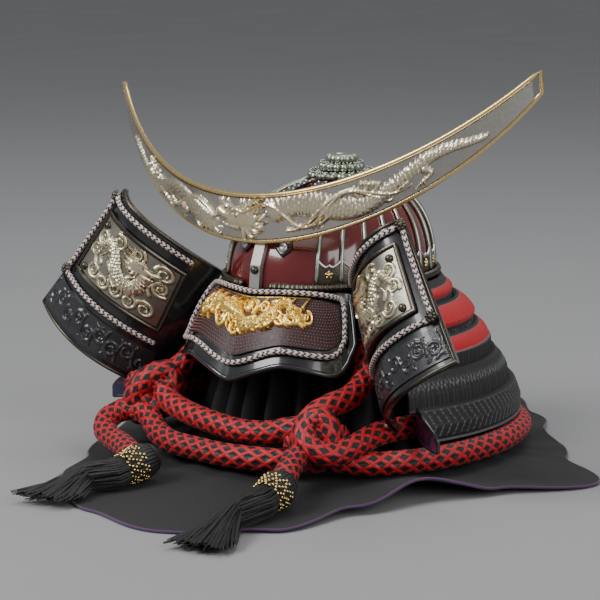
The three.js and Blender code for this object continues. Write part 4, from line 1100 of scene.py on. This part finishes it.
# %% [markdown]
# ## Gilt dragon on the visor
# The dragon is cast on an open ground of clouds. Its strokes are drawn flat in millimetres,
# and only where they rise above the shagreen does the metal show.

# %% Visor dragon
def make_visor_dragon():
    half_u, half_v = 0.31, 0.25
    across, down = 260, 64
    u, v = grid_uv(across, down)
    spots = np.stack([(0.5 - u) * 100, (0.5 - v) * 24], axis=1)
    field = blank_field(spots, 0.3)
    chance = random.Random(11)
    for i in range(36):
        centre = (-46 + 92 * i / 35, chance.uniform(-7, 7))
        stroke(field, spots, curl(centre, chance.uniform(3.2, 5), 1.3, chance.uniform(0, 6),
                                  chance.choice((-1, 1))), [3.0, 2.6, 1.2], 1.9, 0.85)
    for i in range(18):
        x = -44 + 88 * i / 17
        side = 1 if i % 2 else -1
        stroke(field, spots, [(x, side * 4), (x + 3, side * 8), (x + 6, side * 10.5)],
               [3, 2.2, 0.4], 1.8, 0.85)
    body = [(44, -5), (38, 3), (30, 6), (22, 0), (14, -5), (4, -5), (-3, 1)]
    stroke(field, spots, body, [2.5, 5, 7, 7.5, 7], 3.2, 0.9, scales=1.5, fin=2.2)
    tail = [(-24, -2), (-30, 5), (-37, 4), (-42, -3), (-47, -6)]
    stroke(field, spots, tail, [6.5, 6, 4, 1], 2.8, 0.9, scales=1.5, fin=2.0)
    for x, side in ((24, -1), (34, 1), (-31, -1), (10, 1)):
        dragon_leg(field, spots, [(x, 0), (x + 2, side * 5), (x - 2, side * 9)],
                   [3.4, 2.4, 1.6], 3.0, 0.95, (x - 2, side * 8), (x - 4, side * 10.6), 2.5,
                   (1.3, 2.8))
    dragon_head(field, spots, (-11, 1), 13, -1, 4.2)

    def surface(s, t):
        return visor_point(0.5 + half_u * (2 * s - 1), 0.35 + half_v * (2 * t - 1))

    dragon = surface_piece("visor_dragon_cast", surface, across, down, GILT, 1.9, 2.5,
                           {"tone": field["tone"]}, field["height"] * 1.15)
    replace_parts(dragon, "visor_dragon")


make_visor_dragon()
recolour(GILT, read_layer(GILT, "tone"), (0.6, 0.3, 0.035), (1.0, 0.74, 0.22))

# %% [markdown]
# ## Crescent
# The crest is a plate between two arcs. Its whole face is one casting: a dragon winds from
# tip to tip, with a maned head left of the middle and long ribbons beside it.

# %% Crescent surface
ROLL = math.radians(-3.9)
CREST_HALF, OUTER_ARC, INNER_ARC, INNER_CENTRE = 153, 187, 220, 247
FACE_START, FACE_LOW = 0.016, 0.08


def crescent_point(share, across):
    x = CREST_HALF * (2 * share - 1)
    outer = OUTER_ARC - math.sqrt(OUTER_ARC ** 2 - x * x)
    inner = INNER_CENTRE - math.sqrt(INNER_ARC ** 2 - x * x)
    z = mix(outer, inner, across)
    y = 0.003 * x * x - 0.1 * z
    return Vector((x * math.cos(ROLL) + z * math.sin(ROLL), y - 66,
                   -x * math.sin(ROLL) + z * math.cos(ROLL) + 127))


def crescent_face(s, t):
    return crescent_point(mix(FACE_START, 1 - FACE_START, s), mix(FACE_LOW, 1 - FACE_LOW, t))


def make_crescent():
    across, down = 700, 34
    u, v = grid_uv(across, down)
    x = CREST_HALF * (2 * mix(FACE_START, 1 - FACE_START, u) - 1)
    outer_leg = np.sqrt(OUTER_ARC ** 2 - x * x)
    wide = (INNER_CENTRE - np.sqrt(INNER_ARC ** 2 - x * x)) - (OUTER_ARC - outer_leg)
    tilt = np.cos(np.arctan(x / outer_leg))
    wide = wide * tilt * 0.84
    run = x / tilt ** 0.35
    spots = np.stack([run, (v - 0.5) * wide], axis=1)
    field = blank_field(spots, 0.24)
    chance = random.Random(7)

    def winding(start, stop, swing, wave, shift, count=26):
        return [(mix(start, stop, i / count),
                 swing * (1 - 0.45 * i / count) * math.sin(mix(start, stop, i / count) / wave
                                                          + shift))
                for i in range(count + 1)]

    for centre, size, turn in (((-58, 3), 5, 0.4), ((-74, -4), 4.5, 2), ((-90, 2), 4, 1),
                               ((-44, -6), 4.6, 3), ((-104, -1), 3.2, 2.4), ((84, -4), 4, 0.5),
                               ((68, 5), 4.4, 2.8)):
        stroke(field, spots, curl(centre, size, 1.5, turn), [2.0, 1.7, 0.8], 1.1, 0.66)
    stroke(field, spots, winding(-32, -132, 5.5, 11, 1.2), [11, 10, 8, 5.5, 2], 1.7, 0.85,
           scales=2.1, fin=2.8)
    stroke(field, spots, winding(16, 142, 5.6, 13, -0.6), [11, 12, 10.5, 8, 6, 4, 2], 1.8,
           0.88, scales=2.3, fin=3.0)
    for start, stop, swing, wave, shift in ((6, 78, 8.5, 8.0, 0.3), (22, 96, 7.5, 10.5, 2.2),
                                            (-30, -86, 7.5, 9.5, 0.0)):
        stroke(field, spots, winding(start, stop, swing, wave, shift, 44),
               [2.3, 2.6, 2.2, 0.9], 2.0, 1.0)
    for x_at, side in ((-60, -1), (-96, 1), (44, -1), (74, 1), (104, -1)):
        reach = 8 - abs(x_at) * 0.03
        joints = [(x_at, 0), (x_at + 4, side * reach * 0.6), (x_at - 1, side * reach)]
        dragon_leg(field, spots, joints, [3.4, 2.6, 1.8], 1.7, 0.85,
                   (x_at - 1, side * reach * 0.9), (x_at - 3, side * (reach + 2.2)), 3,
                   (1.2, 1.6))
    for i in range(10):
        x_at = chance.uniform(-26, 30)
        stroke(field, spots, [(x_at, 9.5), (x_at + 2, 6.5), (x_at + 6, 5.5)],
               [2.6, 1.6, 0.3], 1.2, 0.8)
    dragon_head(field, spots, (-8, -0.5), 19, -1, 2.3)
    face = surface_piece("crescent_cast", crescent_face, across, down, CAST["crest_cast"],
                         -1.7, 1.75, {"tone": field["tone"]}, field["height"] * 1.15)
    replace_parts(face, "crescent_plate", "crescent_relief")


make_crescent()

# %% Crescent rim
rim_route = []
for low_side in (True, False):
    line = []
    for i in range(121):
        share = mix(0.004, 0.996, i / 120)
        low, high = crescent_point(share, FACE_LOW), crescent_point(share, 1 - FACE_LOW)
        way = (high - low).normalized()
        line.append(low - way * 1.5 if low_side else high + way * 1.5)
    rim_route += line if low_side else line[::-1]
rim = tube_piece("crescent_edge", rim_route, 1.45, 12, GOLD_RIM, closed=True)
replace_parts(rim, "crescent_rim")

# %% Pearl that the dragon follows
pearl_mesh = bmesh.new()
pearl_spot = raised(crescent_face, 0.305, 0.42, 1.6)
pearl_way = raised(crescent_face, 0.305, 0.42, 2.6) - pearl_spot
lay_dome(pearl_mesh, pearl_spot, pearl_way, 6.4, 2.6, 24, 5)
put_in_scene("crescent_pearl", pearl_mesh, PEARL)
print("crescent ready")

# %% [markdown]
# ## Laced neck guard
# Five lames hang one outside the other. Each is drawn as rows of silk: round red bulges,
# zigzag strips, upright lacing and, on the lowest, a black herringbone with grey lines. A
# drawing gives a height and a colour step at each corner of a fine grid.

# %% Lame surfaces
NECK_DROP, NECK_FLARE, LAME_WALL = 80, 47, 2.2
LAMES = ((0.01, 0.17, 0.03, 0.14, 0.17, 54), (0.15, 0.38, 0.225, 0.42, 0.42, 65),
         (0.34, 0.58, 0.477, 0.65, 0.66, 66), (0.55, 0.79, 0.715, 0.86, 0.88, 66),
         (0.76, 0.99, 0.937, 1.02, 1.02, 68))


def lame_point(lame, u, v):
    top, bottom, tucked, swell, spread, front = lame
    out = 1 + LAME_WALL + NECK_FLARE * float(np.interp(v, (0, 0.55, 1), (tucked, swell, spread)))
    turn = math.radians(mix(360 - front, front, u))
    return Vector(((BOWL_WIDE + out) * math.sin(turn), -(BOWL_LONG + out) * math.cos(turn),
                   RIM - NECK_DROP * mix(top, bottom, v)))


# %% Rows of silk: black below 0.25, dark grey, grey from 0.5, red from 0.75
BLACK_STEP, DARK_STEP, GREY_STEP, RED_STEP = 0.1, 0.38, 0.62, 0.9


def bulge(v, low, high, height, x, pitch):
    share = np.clip((v - low) / (high - low), 0, 1)
    crease = 0.72 + 0.28 * np.sqrt(np.abs(np.sin(math.pi * x / pitch)))
    return height * np.sqrt(np.sin(math.pi * share).clip(0)) * crease


def zigzag(x, v, low, high, pitch):
    saw = np.abs((x / pitch) % 1 - 0.5) * 2
    line = (v - low) / (high - low)
    return np.abs(line - mix(0.2, 0.8, saw)) < 0.2


def silk_rows(index, x, v):
    tone, height = np.full(len(x), BLACK_STEP), np.zeros(len(x))

    def paint(where, step, lift):
        tone[where] = step
        height[where] = (lift if np.isscalar(lift) else lift[where])

    upright = np.abs(np.sin(math.pi * x / 1.5))
    if index == 0:
        paint(v < 0.34, DARK_STEP, 0.25 * upright)
        paint((v >= 0.34) & (v < 0.76), RED_STEP, bulge(v, 0.34, 0.76, 1.5, x, 3.1))
        paint(v >= 0.76, DARK_STEP, 0.3 * upright)
    if index == 1:
        paint((v > 0.06) & (v < 0.7), RED_STEP, bulge(v, 0.06, 0.7, 2.3, x, 4.4))
        paint(v >= 0.72, BLACK_STEP, 0.35)
        paint((v >= 0.72) & zigzag(x, v, 0.72, 1.0, 3.4), GREY_STEP, 0.8)
    if index == 2:
        paint((v > 0.08) & (v < 0.46), RED_STEP, bulge(v, 0.08, 0.46, 1.6, x, 3.4))
        paint((v >= 0.46) & (v < 0.55), GREY_STEP, 0.9)
        paint((v >= 0.55) & (upright < 0.42), DARK_STEP, 0.5)
        paint(v >= 0.93, DARK_STEP, 0.6)
    if index == 3:
        paint((v > 0.1) & (upright < 0.42), DARK_STEP, 0.4)
        paint((v > 0.2) & (v < 0.5), BLACK_STEP, 0.5)
        paint((v > 0.2) & (v < 0.5) & zigzag(x, v, 0.2, 0.5, 3.2), GREY_STEP, 0.9)
        paint(v >= 0.92, GREY_STEP, 0.6)
    if index == 4:
        for low, high, lean in ((0.1, 0.5, 1), (0.5, 0.9, -1)):
            inside = (v >= low) & (v < high)
            cross = np.abs((x / 5.2 + lean * (v - low) / (high - low) * 0.8) % 1 - 0.5) * 2
            paint(inside, BLACK_STEP, 0.35 + 0.6 * np.sqrt((1 - cross).clip(0)))
            paint(inside & (cross > 0.74), GREY_STEP, 0.9)
        paint((np.abs(v - 0.5) < 0.03), DARK_STEP, 0.7)
        paint(v >= 0.91, GREY_STEP, 1.1)
    return tone, height


for index, lame in enumerate(LAMES):
    span = path_length([lame_point(lame, i / 60, 0.6) for i in range(61)])
    across, down = int(span / 0.95), 20
    u, v = grid_uv(across, down)
    tone, height = silk_rows(index, u * span, v)
    band = surface_piece("lame_%d_silk" % (index + 1),
                         lambda s, t, lame=lame: lame_point(lame, s, t), across, down, LACING,
                         -LAME_WALL + 0.1, 0.0,
                         {"tone": tone}, height, uv_size=(span * MM, 0.02))
    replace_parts(band, "neck_lame_%d" % (index + 1))

# %% [markdown]
# ## Turned-back wings
# A wing is a lacquered plate with a dark bronze edge. Above, a framed panel carries a cast
# dragon over waves; below, black leather is carved with a scroll. A braided piping runs
# between them and ends in small rosettes. The right wing mirrors the left.

# %% Wing surface
WING_TOP = [Vector((100, -66, 149)), Vector((81, -92.4, 141)), Vector((49, -40.535, 103))]
WING_BOTTOM = [Vector((151, -85, 80)), Vector((107.21, -112.2, 54)),
               Vector((88.78, -54.27, 29))]


def along_edge(edge, u):
    return edge[0] * (1 - u) ** 2 + edge[1] * (2 * u * (1 - u)) + edge[2] * u * u


def wing_point(u, v):
    return along_edge(WING_TOP, u).lerp(along_edge(WING_BOTTOM, u), v)


def patch(low_u, high_u, low_v, high_v):
    return lambda s, t: wing_point(mix(low_u, high_u, s), mix(low_v, high_v, t))


def turn_over(path):
    return [Vector((-spot.x, spot.y, spot.z)) for spot in path]


# %% Drawings for the panel and the leather, in millimetres
def draw_panel(across, down):
    u, v = grid_uv(across, down)
    spots = np.stack([(0.5 - u) * 56, (0.5 - v) * 38], axis=1)
    field = blank_field(spots, 0.24)
    for i, (x, y) in enumerate(((-20, -13), (-11, -14), (-2, -13), (7, -14), (16, -12), (-23, 4),
                                (21, 8), (22, -2), (-22, 13), (8, 13), (-6, 14))):
        stroke(field, spots, curl((x, y), 5.2 - 0.25 * (i % 4), 1.7, 0.8 * i),
               [2.6, 2.2, 0.9], 1.1, 0.66)
    body = [(20, 2), (15, 9), (8, 6), (3, -2), (-4, -7), (-11, -4), (-13, 4)]
    stroke(field, spots, body, [3, 6.5, 8.6, 9, 8.4, 7], 2.5, 0.9, scales=1.9, fin=2.4)
    for x, y, side in ((12, 5, 1), (1, -4, -1), (-8, -6, 1), (6, 2, -1)):
        dragon_leg(field, spots, [(x, y), (x + 3, y + side * 4), (x - 1, y + side * 7.5)],
                   [3.2, 2.4, 1.5], 1.9, 0.9, (x - 1, y + side * 7), (x - 2, y + side * 9.6),
                   2.4, (1.1, 1.6))
    for x, y in ((-19, -3), (14, -6), (18, -8)):
        stroke(field, spots, [(x, y), (x + 2, y + 4), (x - 1, y + 8)], [2.6, 1.8, 0.3], 1.2,
               0.85)
    dragon_head(field, spots, (-9, 8), 12, -1, 2.6)
    return field


def draw_leather(across, down):
    u, v = grid_uv(across, down)
    spots = np.stack([(0.5 - u) * 74, (0.5 - v) * 16], axis=1)
    field = blank_field(spots, 0.2)
    for i in range(9):
        x, side = -32 + 8 * i, 1 if i % 2 else -1
        stroke(field, spots, curl((x, 1.6 * side), 4.1, 1.6, 1.2 * i, side), [1.9, 1.6, 0.7],
               0.9, 0.7)
        stroke(field, spots, [(x + 4, -6 * side), (x + 5, -2 * side), (x + 3, 5 * side)],
               [1.5, 1.8, 0.5], 0.8, 0.6)
        stroke(field, spots, [(x, 6 * side), (x + 2.4, 4.6 * side), (x + 4.6, 6.2 * side)],
               [1.3, 1.7, 0.4], 0.7, 0.6)
    return field


PANEL_GRID, LEATHER_GRID = (150, 96), (160, 40)
panel_field, leather_field = draw_panel(*PANEL_GRID), draw_leather(*LEATHER_GRID)


# %% One wing, and its mirror image
TURN_WIDE = 24


def make_wing(side, mirror):
    prefix = "wing_%s_" % side

    def sheet(name, surface, across, down, material, slot, low, high, field=None, grow=1.0):
        layers = {"tone": field["tone"]} if field else None
        heights = field["height"] * grow if field else None
        return surface_piece(prefix + name, surface, across, down, material, low, high,
                             layers, heights, mirror)

    def tube(name, route, radius, material):
        path = smooth_path(turn_over(route) if mirror else route, 1.0)
        return tube_piece(prefix + name, path, radius, 12, material)

    def stud(name, u, v, lift, width, height, material, petals=0):
        bm = bmesh.new()
        foot, tip = raised(wing_point, u, v, lift), raised(wing_point, u, v, lift + 1)
        if mirror:
            foot, tip = turn_over([foot, tip])
        way = tip - foot
        lay_dome(bm, foot, way, width * (0.55 if petals else 1), height, 20, 4)
        across = way.orthogonal().normalized()
        above = way.cross(across)
        for k in range(petals):
            angle = 2 * math.pi * k / petals
            spot = foot + (across * math.cos(angle) + above * math.sin(angle)) * width * 0.33
            lay_dome(bm, spot, way, width * 0.34, height * 0.6, 10, 2)
        return put_in_scene(prefix + name, bm, material, 70)

    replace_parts(sheet("plate_lacquer", wing_point, 48, 40, BLACK_LACQUER, "black_lacquer",
                      -1.2, 1.2), prefix + "plate")
    edge = [raised(wing_point, 0.96 - 0.945 * i / 40, 0.012, 1.0) for i in range(41)]
    edge += [raised(wing_point, 0.015, 0.012 + 0.976 * i / 40, 1.0) for i in range(1, 41)]
    edge += [raised(wing_point, 0.015 + 0.945 * i / 40, 0.988, 1.0) for i in range(1, 41)]
    tube("edge", edge, 1.0, BRONZE)
    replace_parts(sheet("panel_ground", patch(0.12, 0.86, 0.14, 0.6), 40, 30, BRONZE,
                      "dark_bronze", 1.5, 2.7), prefix + "panel")
    corners = ((0.13, 0.15), (0.85, 0.15), (0.85, 0.59), (0.13, 0.59), (0.13, 0.15))
    frame_route = [raised(wing_point, mix(a[0], b[0], i / 30), mix(a[1], b[1], i / 30), 2.9)
                   for a, b in zip(corners, corners[1:]) for i in range(30)]
    frame_bm = bmesh.new()
    lay_tube(frame_bm, turn_over(frame_route) if mirror else frame_route, 1.25, 8, closed=True)
    put_in_scene(prefix + "panel_frame", frame_bm, BRONZE)
    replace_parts(sheet("panel_cast", patch(0.15, 0.83, 0.17, 0.57), *PANEL_GRID,
                      CAST["wing_cast"], "pewter", 2.6, 3.0, panel_field),
                prefix + "relief")
    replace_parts(sheet("leather_carved", patch(0.03, 0.9, 0.74, 0.95), *LEATHER_GRID, CARVED,
                      "leather", 1.5, 2.3, leather_field, 0.9), prefix + "leather")
    stops = [(u, 0.06) for u in (0.86, 0.7, 0.5, 0.3, 0.14)] + [(0.05, 0.06)]
    stops += [(0.05, v) for v in (0.2, 0.4, 0.58)] + [(0.05, 0.68)]
    stops += [(u, 0.68) for u in (0.14, 0.3, 0.5, 0.7, 0.86)]
    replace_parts(tube("piping_braid", [raised(wing_point, u, v, 2.95) for u, v in stops], 1.5,
                     PIPING), prefix + "piping")
    for name, v in (("top", 0.06), ("mid", 0.68)):
        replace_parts(stud("rosette_%s_cast" % name, 0.05, v, 4.3, 6.8, 2.4, BRONZE,
                         8), prefix + "rosette_" + name)
    for name, v in (("a", 0.22), ("b", 0.54)):
        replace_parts(stud("rivet_%s_dome" % name, 0.2, v, 3.0, 4.8, 2.2, BRONZE),
                    prefix + "rivet_" + name)
    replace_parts(stud("peg_dome", 0.93, 0.97, 1.3, 3.8, 3.2, SILVER), prefix + "peg")

    front = math.radians(68 - 0.6)
    out = NECK_FLARE * 1.02 + LAME_WALL / 2
    root = Vector(((BOWL_WIDE + out) * math.sin(front), -(BOWL_LONG + out) * math.cos(front),
                   RIM - NECK_DROP * 0.99 + TURN_WIDE * 0.16))

    def lower(u, v):
        tall = 0.8 * TURN_WIDE * math.sqrt(1 - 0.85 * u * u)
        return root + Vector((TURN_WIDE * u, -0.6 * TURN_WIDE * math.sin(u * math.pi / 2),
                              -0.12 * TURN_WIDE * u + tall * (1 - v) * 0.8))

    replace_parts(sheet("lower_leather", lower, 60, 40, PRINTED, "leather", -1.0, 1.0),
                prefix + "lower_turn")
    rim = [lower(u, 0) for u in np.linspace(0, 1, 30)] + [lower(1, v) for v in (0.5, 1)]
    rim += [lower(u, 1) for u in np.linspace(1, 0, 30)][1:]
    tube("lower_rim", rim, 1.15, BLACK_LACQUER)


make_wing("left", False)
make_wing("right", True)
print("wings ready")

# %% [markdown]
# ## Cloth
# The cover is a square sheet, 0.466 m a side. That square has the area that the
# modelled runs from crown to hem, 0.22 to 0.37 m, would cover if each lay flat. A flat sheet
# over a cone has cloth to spare, which gathers in upright folds that run inwards from the
# solid model's surface. Their number and depth are guessed. A purple roll closes the hem.

# %% Cloth surface
HEM = ((0, 1.0, 0), (14, 1.08, 0), (30, 1.0, 0), (42, 0.82, 4), (58, 0.72, 12), (74, 0.74, 3),
       (93, 0.86, 0), (112, 0.68, 0), (135, 0.62, 3), (160, 0.72, 0), (180, 0.88, 0),
       (200, 0.72, 2), (225, 0.6, 0), (245, 0.68, 2), (258, 0.74, 0), (275, 0.66, 0),
       (300, 0.62, 4), (322, 0.7, 0), (342, 0.85, 0), (360, 1.0, 0))
TENT = ((0.66, 1.33, 0), (0.74, 1.2, 0), (0.86, 1.02, 0.6), (1.04, 0.8, 1.6),
        (1.22, 0.53, 2.6), (1.34, 0.33, 3.2), (1.5, 0.12, 3.6))
CLOTH, SKIRT, HEAD = 1.8, 205, 62
CAP_ROWS, SKIRT_ROWS = 3, 3
FOLDS = 25
LAST_ROW = CAP_ROWS + len(TENT) + SKIRT_ROWS - 1


def read_hem(turn, column):
    turn %= 360
    for before, after in zip(HEM, HEM[1:]):
        if before[0] <= turn <= after[0]:
            share = (turn - before[0]) / (after[0] - before[0])
            return mix(before[column], after[column], share * share * (3 - 2 * share))


def cloth_row(turn, row):
    """Reach and height of the solid model's row, in millimetres."""
    angle = math.radians(turn)
    wave = math.sin(7 * angle + 0.6) * 0.6 + math.sin(4 * angle + 2.1) * 0.4
    if row < CAP_ROWS:
        reach = HEAD / 2 * row / (CAP_ROWS - 1)
        share = reach / (BOWL_WIDE - 2)
        return reach, RIM + (BOWL_HIGH - 2) * (1 - share ** 2.4) ** (1 / 2.4) - 2.1
    if row < CAP_ROWS + len(TENT):
        out, height, fold = TENT[row - CAP_ROWS]
        return out * BOWL_WIDE + fold * wave, height * RIM
    skirt = (row - CAP_ROWS - len(TENT) + 1) / SKIRT_ROWS
    reach = mix(TENT[-1][0] * BOWL_WIDE, read_hem(turn, 1) * SKIRT, skirt)
    fall = TENT[-1][1] * RIM * (1 - skirt) ** 4
    return reach, (CLOTH + fall * 0.9 + 0.4 * (1 - skirt) * (1 + wave)
                   + read_hem(turn, 2) * skirt * skirt)


def cloth_point(u, v):
    turn, place = 360 * u, v * LAST_ROW
    low = min(int(place), LAST_ROW - 1)
    share = place - low
    rows = [cloth_row(turn, min(max(low + k, 0), LAST_ROW)) for k in (-1, 0, 1, 2)]
    reach, height = (
        0.5 * (2 * b + (c - a) * share + (2 * a - 5 * b + 4 * c - d) * share ** 2
               + (3 * b - a - 3 * c + d) * share ** 3)
        for a, b, c, d in zip(*rows))
    angle = math.radians(turn)
    lower = min(1.0, max(0.0, (place - 4) / 4))
    crinkle = noise.noise(Vector((math.sin(angle) * 3.2, math.cos(angle) * 3.2, v * 3)))
    crinkle += 0.45 * noise.noise(Vector((math.sin(angle) * 9, math.cos(angle) * 9, v * 9)))
    on_floor = min(1.0, max(0.0, place - 9))
    depth = float(np.interp(place, (2, 3, 4, 5, 7, 9, 10, 12), (0, 1.2, 5, 9.5, 16, 17.5, 9, 0)))
    fold = depth * (0.5 + 0.5 * math.sin(FOLDS * angle + 0.9 * math.sin(3 * angle + 0.7)))
    reach = max(0.0, reach - fold + crinkle * 0.8 * lower * (1 - on_floor))
    height = max(height + max(0.0, crinkle) * 1.5 * on_floor, CLOTH if place > 8 else 0)
    return Vector((math.sin(angle) * reach, -math.cos(angle) * reach, height))


def cloth_place(u, v, _):
    return cloth_point(u, v ** 0.92)


cloth_mesh = bmesh.new()
lay_grid(cloth_mesh, cloth_place, 300, 62, merge=True)
cloth_area = sum(face.calc_area() for face in cloth_mesh.faces)
cloth_mesh.normal_update()
bmesh.ops.solidify(cloth_mesh, geom=cloth_mesh.faces[:], thickness=1.5 * MM)
cloth = put_in_scene("cloth_drape", cloth_mesh, CREPE, 70)
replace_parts(cloth, "cover_cloth")

# %% Hem: a narrow roll of the purple lining along the edge
hem_path = [cloth_point(i / 360, 1) - Vector((0, 0, 0.8)) for i in range(360)]
hem = tube_piece("cloth_hem", hem_path, 0.8, 8, PURPLE, closed=True)
